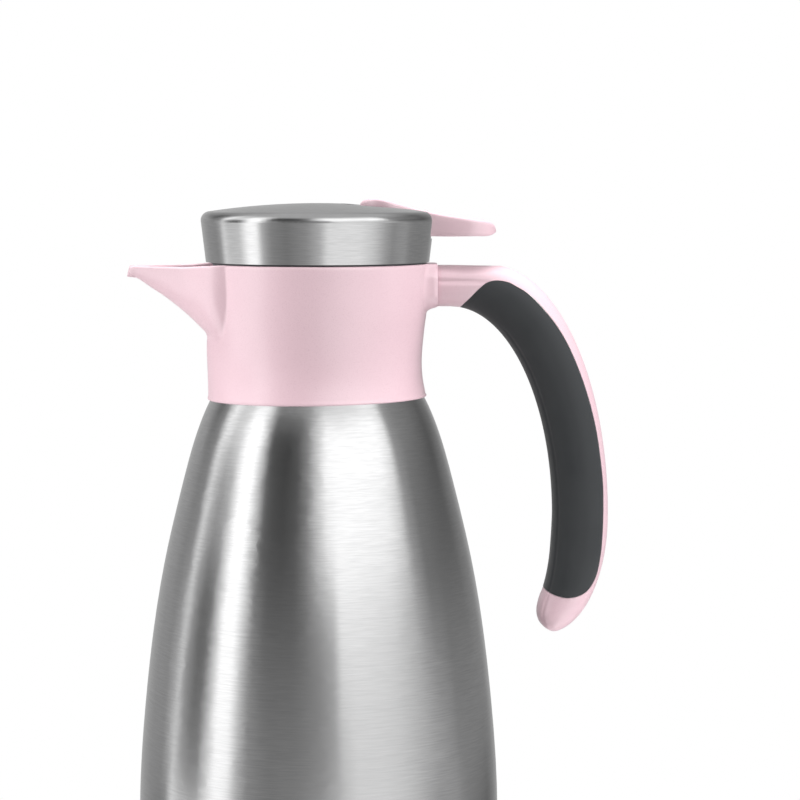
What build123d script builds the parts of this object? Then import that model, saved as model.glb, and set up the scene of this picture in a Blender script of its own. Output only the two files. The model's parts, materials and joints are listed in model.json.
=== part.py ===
from build123d import *
import os
from math import cos, hypot, radians, sin, sqrt

# Vacuum jug with a screw-in lever stopper. Millimetres, +Z up, the origin on the jug's axis at the
# plane it stands on. The handle points along +X and the spout along -X.

# ---- Driving dimensions ----
STEEL = 0.8                 # wall of the steel shells
GAP = 0.3                   # clearance between parts that pass each other
FOOT_RADIUS = 58.0
BODY_BOTTOM = 5.0
NECK_RADIUS = 34.0          # outside of the steel neck
NECK_BASE = 214.0
MOUTH_TOP = 222.0           # rolled mouth of the flask
FLASK_NECK = 30.0           # inside of the flask's neck

COLLAR_BOTTOM = 202.0
COLLAR_TOP = 250.8
COLLAR_LEDGE = 226.0        # top of the ledge that presses on the neck gasket
CHAMBER_FLOOR = 236.0
CHAMBER_RADIUS = 38.0
SPOUT_TOP = 249.9
SPOUT_WALL = 1.7
STUB_END = 43.0             # joint face between collar and handle

THREAD_PITCH = 4.5
THREAD_TURNS = 1.15
PLUG_RADIUS = 28.5
PLUG_BOTTOM = 201.2
HUB_RADIUS = 31.4           # root of the stopper's thread
WINDOW_COUNT = 8

CAP_BOTTOM = 251.4
CAP_BOTTOM_RADIUS = 40.0
CAP_TOP = 272.3
CAP_SHOULDER = (42.1, 268.9)
CAP_RIM_FILLET = 3.2
CARRIER_WALL = 1.8
SLOT_CENTRE = 20.5          # round end of the lever's slot
SLOT_RADIUS = 12.2
SLOT_WAIST = 6.6            # half width of the slot at the cap's rim
SLOT_FLOOR = 259.6

PIVOT_X = 31.0
PIVOT_Z = 262.4
PIN_RADIUS = 1.5
PIN_LENGTH = 19.0
LEVER_NOSE_CENTRE = 24.4
LEVER_NOSE_RADIUS = 9.6
LEVER_WAIST = 5.6
LEVER_TIP = 64.6
PADDLE_HALF_WIDTH = 10.5
PADDLE_CENTRE = 53.5

STEM_RADIUS = 2.4
VALVE_LIFT = 4.9            # height of the open valve over its seat
SEAT_TOP = 203.4
VALVE_RADIUS = 18.0

HANDLE_HALF_WIDTH = 11.5
HANDLE_ROOT_DEPTH = 14.8
HANDLE_TOP = 250.2
HANDLE_TURN = 160.0         # height where the handle runs straight down

os.makedirs("parts", exist_ok=True)


def finish(builder, name):
    """Label a finished piece and write it under its own name."""
    builder.part.label = name
    export_step(builder.part, f"parts/{name}.step")


def ring_section(inner, outer, bottom, top):
    """Half section of a plain ring about Z."""
    with BuildSketch(Plane.XZ) as section:
        with BuildLine():
            Polyline((inner, bottom), (outer, bottom), (outer, top), (inner, top), close=True)
        make_face()
    return section.sketch


def skin_section(outline, wall):
    """Half section of a thin turned shell, from its outer outline and its wall."""
    with BuildSketch(Plane.XZ) as section:
        with BuildLine():
            outside = Spline(*outline)
            inside = Spline(*[(radius - wall, z) for radius, z in outline])
            Line(outside @ 0, inside @ 0)
            Line(outside @ 1, inside @ 1)
        make_face()
    return section.sketch


# ---- Outer shell: tapering body that draws in to a straight neck inside the collar ----
BODY_OUTLINE = [
    (60.8, BODY_BOTTOM),
    (64.9, 46.0),
    (62.6, 92.3),
    (55.1, 145.0),
    (48.9, 171.2),
    (42.5, 193.0),
    (39.1, 201.0),
    (36.6, 206.0),
    (NECK_RADIUS, NECK_BASE),
]

with BuildPart() as outer_shell:
    revolve(skin_section(BODY_OUTLINE, STEEL), axis=Axis.Z)
    revolve(ring_section(NECK_RADIUS - STEEL, NECK_RADIUS, NECK_BASE, MOUTH_TOP - STEEL), axis=Axis.Z)
finish(outer_shell, "outer_shell")

# ---- Outer bottom: disc welded into the shell, with a shallow dish for the base cup ----
BOTTOM_RADIUS = 60.4 - STEEL
BOTTOM_Z = 6.0
DISH_RADIUS = 44.0
DISH_RISE = 3.0

with BuildPart() as outer_bottom:
    with BuildSketch(Plane.XZ):
        with BuildLine():
            Polyline(
                (0, BOTTOM_Z + DISH_RISE),
                (DISH_RADIUS, BOTTOM_Z + DISH_RISE),
                (DISH_RADIUS + DISH_RISE, BOTTOM_Z),
                (BOTTOM_RADIUS, BOTTOM_Z),
                (BOTTOM_RADIUS, BOTTOM_Z + STEEL),
                (DISH_RADIUS + DISH_RISE, BOTTOM_Z + STEEL),
                (DISH_RADIUS, BOTTOM_Z + DISH_RISE + STEEL),
                (0, BOTTOM_Z + DISH_RISE + STEEL),
                close=True,
            )
        make_face()
    revolve(axis=Axis.Z)
finish(outer_bottom, "outer_bottom")

# ---- Vacuum seal: pip over the evacuation hole, under the middle of the outer bottom ----
SEAL_RADIUS = 7.0
SEAL_HEIGHT = 1.6

with BuildPart() as vacuum_seal:
    with BuildSketch(Plane.XY.offset(BOTTOM_Z + DISH_RISE - SEAL_HEIGHT)):
        Circle(SEAL_RADIUS)
    extrude(amount=SEAL_HEIGHT)
    chamfer(vacuum_seal.edges().sort_by(Axis.Z)[0], SEAL_HEIGHT / 2)
finish(vacuum_seal, "vacuum_seal")

# ---- Inner flask: the belly of the vessel that holds the drink ----
FLASK_FLOOR = 15.0
FLASK_OUTLINE = [
    (54.5, 28.0),
    (58.6, 50.0),
    (56.4, 92.3),
    (48.9, 145.0),
    (42.6, 171.2),
    (36.2, 193.0),
    (32.6, 203.0),
    (FLASK_NECK + STEEL, NECK_BASE),
]

FLASK_WELD = 110.0          # the belly and the shoulder are drawn apart and welded here

with BuildPart() as inner_flask:
    revolve(skin_section(FLASK_OUTLINE, STEEL), axis=Axis.Z)
    split(bisect_by=Plane.XY.offset(FLASK_WELD), keep=Keep.BOTTOM)
finish(inner_flask, "inner_flask")

# ---- Inner shoulder: upper half of the flask, its mouth rolled over the shell's neck ----
with BuildPart() as inner_shoulder:
    revolve(skin_section(FLASK_OUTLINE, STEEL), axis=Axis.Z)
    split(bisect_by=Plane.XY.offset(FLASK_WELD), keep=Keep.TOP)
    revolve(ring_section(FLASK_NECK, FLASK_NECK + STEEL, NECK_BASE, MOUTH_TOP), axis=Axis.Z)
    revolve(ring_section(FLASK_NECK, NECK_RADIUS, MOUTH_TOP - STEEL, MOUTH_TOP), axis=Axis.Z)
finish(inner_shoulder, "inner_shoulder")

# ---- Inner bottom: dished cap welded into the flask's lower edge ----
with BuildPart() as inner_bottom:
    with BuildSketch(Plane.XZ):
        with BuildLine():
            side, low = FLASK_OUTLINE[0]
            corner = ThreePointArc((side, low), (side - 2.6, low - 7.4), (side - 10.0, FLASK_FLOOR))
            rim = ThreePointArc(
                (side - STEEL, low), (side - 3.2, low - 6.9), (side - 10.0, FLASK_FLOOR + STEEL)
            )
            Line(corner @ 0, rim @ 0)
            Line(corner @ 1, (0, FLASK_FLOOR))
            Line((0, FLASK_FLOOR), (0, FLASK_FLOOR + STEEL))
            Line((0, FLASK_FLOOR + STEEL), rim @ 1)
        make_face()
    revolve(axis=Axis.Z)
finish(inner_bottom, "inner_bottom")

# ---- Getter: capsule on the flask's underside, inside the vacuum ----
GETTER_OFFSET = 22.0
GETTER_RADIUS = 5.0
GETTER_HEIGHT = 2.5

with BuildPart() as getter:
    with BuildSketch(Plane.XY.offset(FLASK_FLOOR - GETTER_HEIGHT)):
        with Locations((GETTER_OFFSET, 0)):
            Circle(GETTER_RADIUS)
    extrude(amount=GETTER_HEIGHT)
finish(getter, "getter")

# ---- Base cup and foot pad: plastic cup under the steel, standing on a rubber pad ----
FOOT_HEIGHT = 2.2
CUP_FLOOR = 2.0

with BuildPart() as base_cup:
    with BuildSketch(Plane.XZ):
        with BuildLine():
            Polyline(
                (0, FOOT_HEIGHT),
                (FOOT_RADIUS - 1.5, FOOT_HEIGHT),
                (FOOT_RADIUS - 0.5, FOOT_HEIGHT - 1.0),
                (FOOT_RADIUS + 0.8, FOOT_HEIGHT - 0.6),
                (60.4, 3.4),
                (60.7, BODY_BOTTOM),
                (59.4, BODY_BOTTOM),
                (59.4, BOTTOM_Z),
                (FOOT_RADIUS - 1.0, BOTTOM_Z),
                (FOOT_RADIUS - 1.0, FOOT_HEIGHT + CUP_FLOOR),
                (0, FOOT_HEIGHT + CUP_FLOOR),
                close=True,
            )
        make_face()
    revolve(axis=Axis.Z)
finish(base_cup, "base_cup")

with BuildPart() as foot_pad:
    with BuildSketch(Plane.XY):
        Circle(FOOT_RADIUS - 1.5)
    extrude(amount=FOOT_HEIGHT)
    chamfer(foot_pad.edges().group_by(Axis.Z)[0], 0.5)
finish(foot_pad, "foot_pad")

# ---- Neck gasket: silicone ring between the flask's mouth and the collar's ledge ----
GASKET_HEIGHT = 1.5

with BuildPart() as neck_gasket:
    revolve(
        ring_section(FLASK_NECK + 0.8, NECK_RADIUS, MOUTH_TOP, MOUTH_TOP + GASKET_HEIGHT), axis=Axis.Z
    )
finish(neck_gasket, "neck_gasket")

# ---- Collar: waisted ring with a beak spout, a ridge below it and the root of the handle ----
COLLAR_OUTLINE = [
    (39.1, COLLAR_BOTTOM),
    (37.6, 210.0),
    (37.3, 216.0),
    (38.2, 227.0),
    (39.1, 234.0),
    (40.2, COLLAR_TOP),
]
COLLAR_BORE = NECK_RADIUS + GAP
SPOUT_TIP = -68.3


def spout_section(x, half_width, side_end, keel, keel_half_width):
    """Cross-section of the spout at x: flat top, straight flanks down to side_end, rounded keel."""
    with BuildSketch(Plane.YZ.offset(x)) as section:
        with BuildLine():
            Line((-half_width, SPOUT_TOP), (half_width, SPOUT_TOP))
            Line((half_width, SPOUT_TOP), (keel_half_width, side_end))
            ThreePointArc((keel_half_width, side_end), (0, keel), (-keel_half_width, side_end))
            Line((-keel_half_width, side_end), (-half_width, SPOUT_TOP))
        make_face()
    return section.sketch


# x, half width, lower end of the flank, keel height, half width of the keel
SPOUT_STATIONS = [
    (SPOUT_TIP, 4.0, 247.2, 246.3, 2.2),
    (-60.0, 8.6, 244.6, 242.3, 3.6),
    (-50.0, 13.8, 238.4, 235.2, 5.4),
    (-42.0, 18.0, 233.0, 227.4, 7.6),
    (-30.0, 24.6, 226.0, 214.0, 12.0),
]


def channel_section(station):
    """Cross-section of the open channel inside the spout, one wall thickness inside the beak."""
    x, half_width, side_end, keel, keel_half_width = station
    slope = SPOUT_WALL * 1.2
    floor = max(keel + SPOUT_WALL, CHAMBER_FLOOR + 0.6)
    shoulder = max(side_end + SPOUT_WALL * 0.8, floor + 0.6)
    reach = (half_width - keel_half_width) * (shoulder - side_end) / (SPOUT_TOP - side_end)
    with BuildSketch(Plane.YZ.offset(x)) as section:
        with BuildLine():
            low_width = keel_half_width + reach - slope * 0.8
            Line((slope - half_width, SPOUT_TOP), (half_width - slope, SPOUT_TOP))
            Line((half_width - slope, SPOUT_TOP), (low_width, shoulder))
            ThreePointArc((low_width, shoulder), (0, floor), (-low_width, shoulder))
            Line((-low_width, shoulder), (slope - half_width, SPOUT_TOP))
        make_face()
    return section.sketch


# height, radius of the ridge, distance of its crest from the axis
RIDGE_STATIONS = [
    (COLLAR_BOTTOM, 37.0, 39.3),
    (212.0, 30.0, 39.6),
    (223.0, 24.0, 39.8),
    (238.0, 24.0, 37.5),
]
STUB_WIDTH = 20.0
STUB_CORNER = 5.0
STUB_CENTRE_Z = HANDLE_TOP - HANDLE_ROOT_DEPTH / 2
SCREW_SPACING = 7.0
SCREW_RADIUS = 1.5
SCREW_HEAD_RADIUS = 2.8
SCREW_LENGTH = 16.0
SCREW_HEAD_X = CHAMBER_RADIUS + 0.2

with BuildPart() as collar:
    with BuildSketch(Plane.XZ):
        with BuildLine():
            side = Spline(*COLLAR_OUTLINE)
            Line(side @ 0, (0, COLLAR_BOTTOM))
            Line((0, COLLAR_BOTTOM), (0, COLLAR_TOP))
            Line((0, COLLAR_TOP), side @ 1)
        make_face()
    revolve(axis=Axis.Z)
    ridge = []
    for height, ridge_radius, crest in RIDGE_STATIONS:
        with BuildSketch(Plane.XY.offset(height), mode=Mode.PRIVATE) as ridge_section:
            with Locations((ridge_radius - crest, 0)):
                Circle(ridge_radius)
        ridge.append(ridge_section.sketch)
    loft(ridge)
    loft([spout_section(*station) for station in SPOUT_STATIONS])
    with BuildSketch(Plane.YZ.offset(CHAMBER_RADIUS - 2.0)):
        with Locations((0, STUB_CENTRE_Z)):
            RectangleRounded(STUB_WIDTH, HANDLE_ROOT_DEPTH, STUB_CORNER)
    extrude(amount=STUB_END - CHAMBER_RADIUS + 2.0)
    # Inside: seat on the steel shoulder, bore over the neck, ledge, thread ring seat and pour chamber
    with BuildSketch(Plane.XZ):
        with BuildLine():
            Polyline(
                (0, COLLAR_BOTTOM - 1),
                (39.1, COLLAR_BOTTOM - 1),
                (38.75, COLLAR_BOTTOM),
                (36.9, 206.2),
                (35.2, 211.0),
                (COLLAR_BORE, 215.0),
                (COLLAR_BORE, MOUTH_TOP + GASKET_HEIGHT),
                (32.0, MOUTH_TOP + GASKET_HEIGHT),
                (32.0, COLLAR_LEDGE),
                (36.4, COLLAR_LEDGE),
                (36.4, CHAMBER_FLOOR),
                (CHAMBER_RADIUS, CHAMBER_FLOOR),
                (CHAMBER_RADIUS, COLLAR_TOP + 1),
                (0, COLLAR_TOP + 1),
                close=True,
            )
        make_face()
    revolve(axis=Axis.Z, mode=Mode.SUBTRACT)
    loft([channel_section(station) for station in SPOUT_STATIONS], mode=Mode.SUBTRACT)
    with BuildSketch(Plane.YZ.offset(CHAMBER_RADIUS - 4.0)):
        with Locations((0, STUB_CENTRE_Z)):
            with GridLocations(SCREW_SPACING, 1, 2, 1):
                Circle(SCREW_RADIUS)
    extrude(amount=STUB_END - CHAMBER_RADIUS + 5.0, mode=Mode.SUBTRACT)
    with BuildSketch(Plane.YZ.offset(CHAMBER_RADIUS - 4.0)):
        with Locations((0, STUB_CENTRE_Z)):
            with GridLocations(SCREW_SPACING, 1, 2, 1):
                Circle(SCREW_HEAD_RADIUS)
    extrude(amount=5.6, mode=Mode.SUBTRACT)
finish(collar, "collar")

# ---- Neck insert and the threads ----
RIDGE_BASE = 2.4
RIDGE_CREST = 1.0
RIDGE_HEIGHT = 1.4


def thread_ridge(radius, start, outwards):
    """One helical ridge on a cylinder of this radius, from the height start up."""
    foot = radius - 0.4 * outwards
    crest = radius + RIDGE_HEIGHT * outwards
    with BuildPart(mode=Mode.PRIVATE) as ridge_part:
        with BuildLine() as path:
            Helix(THREAD_PITCH, THREAD_PITCH * THREAD_TURNS, radius, center=(0, 0, start))
        with BuildSketch(Plane.XZ):
            with BuildLine():
                Polyline(
                    (foot, start - RIDGE_BASE / 2),
                    (crest, start - RIDGE_CREST / 2),
                    (crest, start + RIDGE_CREST / 2),
                    (foot, start + RIDGE_BASE / 2),
                    close=True,
                )
            make_face()
        sweep(path=path.line, is_frenet=True)
    return ridge_part.part


INSERT_BORE = 33.2
INSERT_THREAD_START = 229.4
STOPPER_THREAD_START = INSERT_THREAD_START - THREAD_PITCH / 2 + 0.1

with BuildPart() as neck_insert:
    revolve(ring_section(INSERT_BORE, 36.4, COLLAR_LEDGE, CHAMBER_FLOOR), axis=Axis.Z)
    add(thread_ridge(INSERT_BORE, INSERT_THREAD_START, -1))
finish(neck_insert, "neck_insert")

# ---- Handle: frame with its spine outside, and the soft grip round its inner side ----
OUTER_REACH = 104.6         # outermost x of the handle
OUTER_START = 61.7          # where the outer side leaves the level arm
INNER_REACH = 84.5
INNER_START = 48.0
INNER_TOP = HANDLE_TOP - HANDLE_ROOT_DEPTH


def bend_pair(angle):
    """Outer and inner points of the handle's bend, each on its own quarter ellipse."""
    across = sin(radians(angle))
    up = cos(radians(angle))
    outer_x = OUTER_START + (OUTER_REACH - OUTER_START) * across
    outer_z = HANDLE_TURN + (HANDLE_TOP - HANDLE_TURN) * up
    inner_x = INNER_START + (INNER_REACH - INNER_START) * across
    inner_z = HANDLE_TURN + (INNER_TOP - HANDLE_TURN) * up
    return (outer_x, outer_z), (inner_x, inner_z)


TAIL_CENTRE_X = 84.0        # the lower end's outer side is a quarter ellipse about this x
TAIL_DROP = 42.0
TAIL_HOOK = 7.0             # how far the lower end's inner side leans towards the jug


def tail_pair(angle, inner_drop):
    """Outer and inner points of the lower end: the outer on an ellipse, the inner on a parabola."""
    outer_x = TAIL_CENTRE_X + (OUTER_REACH - TAIL_CENTRE_X) * cos(radians(angle))
    outer_z = HANDLE_TURN - TAIL_DROP * sin(radians(angle))
    inner_x = INNER_REACH - TAIL_HOOK * (inner_drop / TAIL_DROP) ** 2
    return (outer_x, outer_z), (inner_x, HANDLE_TURN - inner_drop)


HANDLE_PAIRS = [((STUB_END, HANDLE_TOP), (STUB_END, INNER_TOP))]
HANDLE_PAIRS += [bend_pair(angle) for angle in (5, 22, 38, 52, 64, 76, 88)]
HANDLE_PAIRS += [tail_pair(angle, drop) for angle, drop in ((20, 13.0), (40, 24.0), (58, 31.5), (74, 37.0))]
ROOT_HALF_WIDTH = 9.8


def handle_form(scale):
    """Loft along the handle through ellipses, each scaled about its own centre."""
    sections = []
    last = len(HANDLE_PAIRS) - 1
    for index, ((outer_x, outer_z), (inner_x, inner_z)) in enumerate(HANDLE_PAIRS):
        depth = hypot(outer_x - inner_x, outer_z - inner_z)
        widening = min(index / 3, 1)
        half_width = ROOT_HALF_WIDTH + (HANDLE_HALF_WIDTH - ROOT_HALF_WIDTH) * widening
        if index > last - 3:
            half_width = half_width * (1 - 0.16 * (index - last + 3))
        centre = ((outer_x + inner_x) / 2, 0, (outer_z + inner_z) / 2)
        across = (outer_x - inner_x, 0, outer_z - inner_z)
        normal = (outer_z - inner_z, 0, inner_x - outer_x)
        with BuildSketch(Plane(origin=centre, x_dir=across, z_dir=normal), mode=Mode.PRIVATE) as section:
            Ellipse(depth / 2 * scale, half_width * scale)
        sections.append(section.sketch)
    return loft(sections, mode=Mode.PRIVATE)


CORE_SCALE = 0.52


def grip_region():
    """Side view of the zone that the soft grip fills, extruded across the handle."""
    with BuildPart(mode=Mode.PRIVATE) as region:
        with BuildSketch(Plane.XZ):
            with BuildLine():
                top = Spline((50.5, 232.0), (52.6, 237.4), (58.5, 243.3), (64.0, 245.0), (72.2, 242.3))
                back = Spline(
                    top @ 1, (86.8, 226.3), (97.6, 200.0), (102.5, 165.6), (102.0, 148.5), (98.4, 136.8),
                    tangents=((0.86, -0.51), (-0.45, -0.89)),
                )
                end = Spline(back @ 1, (93.4, 132.1), (86.6, 131.8), (78.0, 137.0))
                Line(end @ 1, (60.0, 137.0))
                Line((60.0, 137.0), (45.0, 225.0))
                Line((45.0, 225.0), top @ 0)
            make_face()
        extrude(amount=HANDLE_HALF_WIDTH + 5, both=True)
    return region.part


handle_body = handle_form(1)
handle_core = handle_form(CORE_SCALE)
soft_zone = grip_region()

with BuildPart() as handle_grip:
    add(handle_body)
    add(soft_zone, mode=Mode.INTERSECT)
    add(handle_core, mode=Mode.SUBTRACT)
finish(handle_grip, "handle_grip")

with BuildPart() as handle_frame:
    add(handle_body)
    add(soft_zone, mode=Mode.SUBTRACT)
    add(handle_core)
    with BuildSketch(Plane.YZ.offset(STUB_END)):
        with Locations((0, STUB_CENTRE_Z)):
            with GridLocations(SCREW_SPACING, 1, 2, 1):
                Circle(SCREW_RADIUS)
    extrude(amount=SCREW_HEAD_X + SCREW_LENGTH - STUB_END, mode=Mode.SUBTRACT)
finish(handle_frame, "handle_frame")

with BuildPart() as handle_screws:
    with BuildSketch(Plane.YZ.offset(SCREW_HEAD_X)):
        with Locations((0, STUB_CENTRE_Z)):
            with GridLocations(SCREW_SPACING, 1, 2, 1):
                Circle(SCREW_HEAD_RADIUS)
    extrude(amount=CHAMBER_RADIUS + 1.6 - SCREW_HEAD_X)
    with BuildSketch(Plane.YZ.offset(CHAMBER_RADIUS + 1.6)):
        with Locations((0, STUB_CENTRE_Z)):
            with GridLocations(SCREW_SPACING, 1, 2, 1):
                Circle(SCREW_RADIUS)
    extrude(amount=SCREW_LENGTH - 1.6)
finish(handle_screws, "handle_screws")

# ---- Stopper body: plug in the flask's neck, thread, pour windows and the seat of the valve ----
GROOVE_BOTTOM = 213.0
GROOVE_TOP = 219.0
GROOVE_DEPTH = 1.4
SEAT_BORE = 15.5
DECK_Z = 248.6
DECK_THICKNESS = 2.2
DECK_RADIUS = 37.3
UPPER_RADIUS = 33.2
WINDOW_WIDTH = 15.0
WINDOW_BOTTOM = 238.4
GUIDE_Z = 236.6
GUIDE_THICKNESS = 2.4
GUIDE_BORE = STEM_RADIUS + 0.08

with BuildPart() as stopper_body:
    with BuildSketch(Plane.XZ):
        with BuildLine():
            Polyline(
                (SEAT_BORE, PLUG_BOTTOM),
                (PLUG_RADIUS - 1.2, PLUG_BOTTOM),
                (PLUG_RADIUS, PLUG_BOTTOM + 1.2),
                (PLUG_RADIUS, GROOVE_BOTTOM),
                (PLUG_RADIUS - GROOVE_DEPTH, GROOVE_BOTTOM),
                (PLUG_RADIUS - GROOVE_DEPTH, GROOVE_TOP),
                (PLUG_RADIUS, GROOVE_TOP),
                (PLUG_RADIUS, 224.0),
                (HUB_RADIUS - 0.4, 224.6),
                (HUB_RADIUS, 225.4),
                (HUB_RADIUS, CHAMBER_FLOOR + GAP),
                (UPPER_RADIUS, CHAMBER_FLOOR + GAP),
                (UPPER_RADIUS, DECK_Z),
                (UPPER_RADIUS - 2.2, DECK_Z),
                (UPPER_RADIUS - 2.2, GUIDE_Z + GUIDE_THICKNESS),
                (HUB_RADIUS - 2.4, GUIDE_Z + GUIDE_THICKNESS),
                (HUB_RADIUS - 2.4, 226.8),
                (PLUG_RADIUS - 2.6, 225.6),
                (PLUG_RADIUS - 2.6, SEAT_TOP),
                (SEAT_BORE, SEAT_TOP),
                close=True,
            )
        make_face()
    revolve(axis=Axis.Z)
    with BuildSketch(Plane.XY.offset(WINDOW_BOTTOM)):
        with PolarLocations(UPPER_RADIUS, WINDOW_COUNT):
            Rectangle(10.0, WINDOW_WIDTH)
    extrude(amount=DECK_Z - 1.6 - WINDOW_BOTTOM, mode=Mode.SUBTRACT)
    add(thread_ridge(HUB_RADIUS, STOPPER_THREAD_START, 1))
finish(stopper_body, "stopper_body")

# ---- Stem guide: three-armed spider inside the stopper, with the bush for the valve stem ----
ARM_WIDTH = 4.0
GUIDE_BOSS = 5.2
GUIDE_RING = HUB_RADIUS - 2.4

with BuildPart() as stem_guide:
    with BuildSketch(Plane.XY.offset(GUIDE_Z)):
        Circle(GUIDE_RING)
        Circle(GUIDE_RING - 2.0, mode=Mode.SUBTRACT)
        with PolarLocations((GUIDE_RING - 1.0) / 2, 3):
            Rectangle(GUIDE_RING - 1.0, ARM_WIDTH)
        Circle(GUIDE_BOSS)
        Circle(GUIDE_BORE, mode=Mode.SUBTRACT)
    extrude(amount=GUIDE_THICKNESS)
finish(stem_guide, "stem_guide")

# ---- Stopper gasket: lipped silicone ring in the plug's groove ----
with BuildPart() as stopper_gasket:
    with BuildSketch(Plane.XZ):
        with BuildLine():
            inner = PLUG_RADIUS - GROOVE_DEPTH + 0.1
            Polyline(
                (inner, GROOVE_BOTTOM + 0.1),
                (PLUG_RADIUS + 0.5, GROOVE_BOTTOM + 0.1),
                (FLASK_NECK - 0.15, GROOVE_BOTTOM + 1.6),
                (PLUG_RADIUS + 0.4, GROOVE_BOTTOM + 2.9),
                (FLASK_NECK - 0.15, GROOVE_TOP - 1.6),
                (PLUG_RADIUS + 0.5, GROOVE_TOP - 0.1),
                (inner, GROOVE_TOP - 0.1),
                close=True,
            )
        make_face()
    revolve(axis=Axis.Z)
finish(stopper_gasket, "stopper_gasket")

# ---- Stopper deck: plate over the pour chamber, with the rim gasket in its edge ----
DECK_TOP = DECK_Z + DECK_THICKNESS
DECK_BOSS = 6.0
CAP_SCREW_CIRCLE = 24.0
CAP_SCREW_RADIUS = 1.4
CAP_SCREW_HEAD = 2.6
CAP_SCREW_START = 60.0      # first screw's angle from +X; the others follow at 120 degrees
CAP_SCREW_HEAD_HEIGHT = 1.2
STEM_RING_HEIGHT = 1.2
DECK_BOSS_HEIGHT = 1.8


def screw_places():
    """Places of the screws between the deck and the cap carrier."""
    return PolarLocations(CAP_SCREW_CIRCLE, 3, start_angle=CAP_SCREW_START)


with BuildPart() as stopper_deck:
    with BuildSketch(Plane.XY.offset(DECK_Z)):
        Circle(DECK_RADIUS - 1.2)
    extrude(amount=DECK_THICKNESS)
    with BuildSketch(Plane.XY.offset(DECK_TOP)):
        Circle(DECK_BOSS)
    extrude(amount=DECK_BOSS_HEIGHT)
    with BuildSketch(Plane.XY.offset(DECK_Z)):
        Circle(GUIDE_BORE)
        with screw_places():
            Circle(CAP_SCREW_RADIUS)
    extrude(amount=10.0, mode=Mode.SUBTRACT)
    with BuildSketch(Plane.XY.offset(DECK_TOP + DECK_BOSS_HEIGHT - STEM_RING_HEIGHT)):
        Circle(STEM_RADIUS + 1.6)
    extrude(amount=STEM_RING_HEIGHT, mode=Mode.SUBTRACT)
    with BuildSketch(Plane.XY.offset(DECK_Z)):
        with screw_places():
            Circle(CAP_SCREW_HEAD)
    extrude(amount=CAP_SCREW_HEAD_HEIGHT, mode=Mode.SUBTRACT)
finish(stopper_deck, "stopper_deck")

with BuildPart() as stem_ring:
    boss_top = DECK_TOP + DECK_BOSS_HEIGHT
    revolve(
        ring_section(STEM_RADIUS + 0.06, STEM_RADIUS + 1.6, boss_top - STEM_RING_HEIGHT, boss_top),
        axis=Axis.Z,
    )
finish(stem_ring, "stem_ring")

with BuildPart() as rim_gasket:
    with BuildSketch(Plane.XZ):
        with BuildLine():
            Polyline(
                (DECK_RADIUS - 1.2, DECK_Z + 0.3),
                (DECK_RADIUS, DECK_Z + 0.3),
                (DECK_RADIUS + 0.3, DECK_TOP + 0.1),
                (CAP_BOTTOM_RADIUS - 1.6, DECK_TOP + 0.2),
                (CAP_BOTTOM_RADIUS - 1.6, CAP_BOTTOM),
                (DECK_RADIUS - 2.6, CAP_BOTTOM),
                (DECK_RADIUS - 2.6, DECK_TOP),
                (DECK_RADIUS - 1.2, DECK_TOP),
                close=True,
            )
        make_face()
    revolve(axis=Axis.Z)
finish(rim_gasket, "rim_gasket")


# ---- Cap: steel skin over a plastic carrier, both open along the lever's slot ----
def cap_section(inset):
    """Half section of the domed cap, with its faces moved inwards by inset."""
    shoulder_x, shoulder_z = CAP_SHOULDER
    top = CAP_TOP - inset
    edge = (shoulder_x - inset * 1.1, shoulder_z - inset * 0.9)
    with BuildSketch(Plane.XZ) as section:
        with BuildLine():
            rise = top - edge[1]
            crown = ((edge[0]) ** 2 + rise ** 2) / (2 * rise)
            middle = edge[0] / 2
            ThreePointArc((0, top), (middle, top - crown + sqrt(crown ** 2 - middle ** 2)), edge)
            Line(edge, (CAP_BOTTOM_RADIUS - inset, CAP_BOTTOM))
            Line((CAP_BOTTOM_RADIUS - inset, CAP_BOTTOM), (0, CAP_BOTTOM))
            Line((0, CAP_BOTTOM), (0, top))
        make_face()
        corner = section.vertices().sort_by(Axis.X)[-1]
        fillet(corner, CAP_RIM_FILLET - inset)
    return section.sketch


def slot_plan(grow):
    """Plan of the lever's slot: a round end that narrows towards the cap's rim."""
    with BuildSketch(Plane.XY) as plan:
        with Locations((SLOT_CENTRE, 0)):
            Circle(SLOT_RADIUS + grow)
        with BuildLine():
            flare = SLOT_CENTRE + SLOT_RADIUS * 0.35
            Polyline(
                (SLOT_CENTRE, -SLOT_RADIUS - grow),
                (flare, -SLOT_RADIUS * 0.93 - grow),
                (34.0, -SLOT_WAIST - grow),
                (50.0, -SLOT_WAIST - grow),
                (50.0, SLOT_WAIST + grow),
                (34.0, SLOT_WAIST + grow),
                (flare, SLOT_RADIUS * 0.93 + grow),
                (SLOT_CENTRE, SLOT_RADIUS + grow),
                close=True,
            )
        make_face()
    return plan.sketch


with BuildPart() as cap_shell:
    revolve(cap_section(0), axis=Axis.Z)
    revolve(cap_section(STEEL), axis=Axis.Z, mode=Mode.SUBTRACT)
    with BuildSketch(Plane.XY.offset(CAP_BOTTOM - 1)):
        Circle(CAP_BOTTOM_RADIUS - STEEL)
    extrude(amount=2, mode=Mode.SUBTRACT)
    extrude(Plane.XY.offset(SLOT_FLOOR) * slot_plan(0), amount=20, mode=Mode.SUBTRACT)
finish(cap_shell, "cap_shell")

EAR_OUTER = PIN_LENGTH / 2
EAR_INNER = 7.0
EAR_HALF_LENGTH = 3.4
EAR_TOP = PIVOT_Z + 2.9

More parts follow.
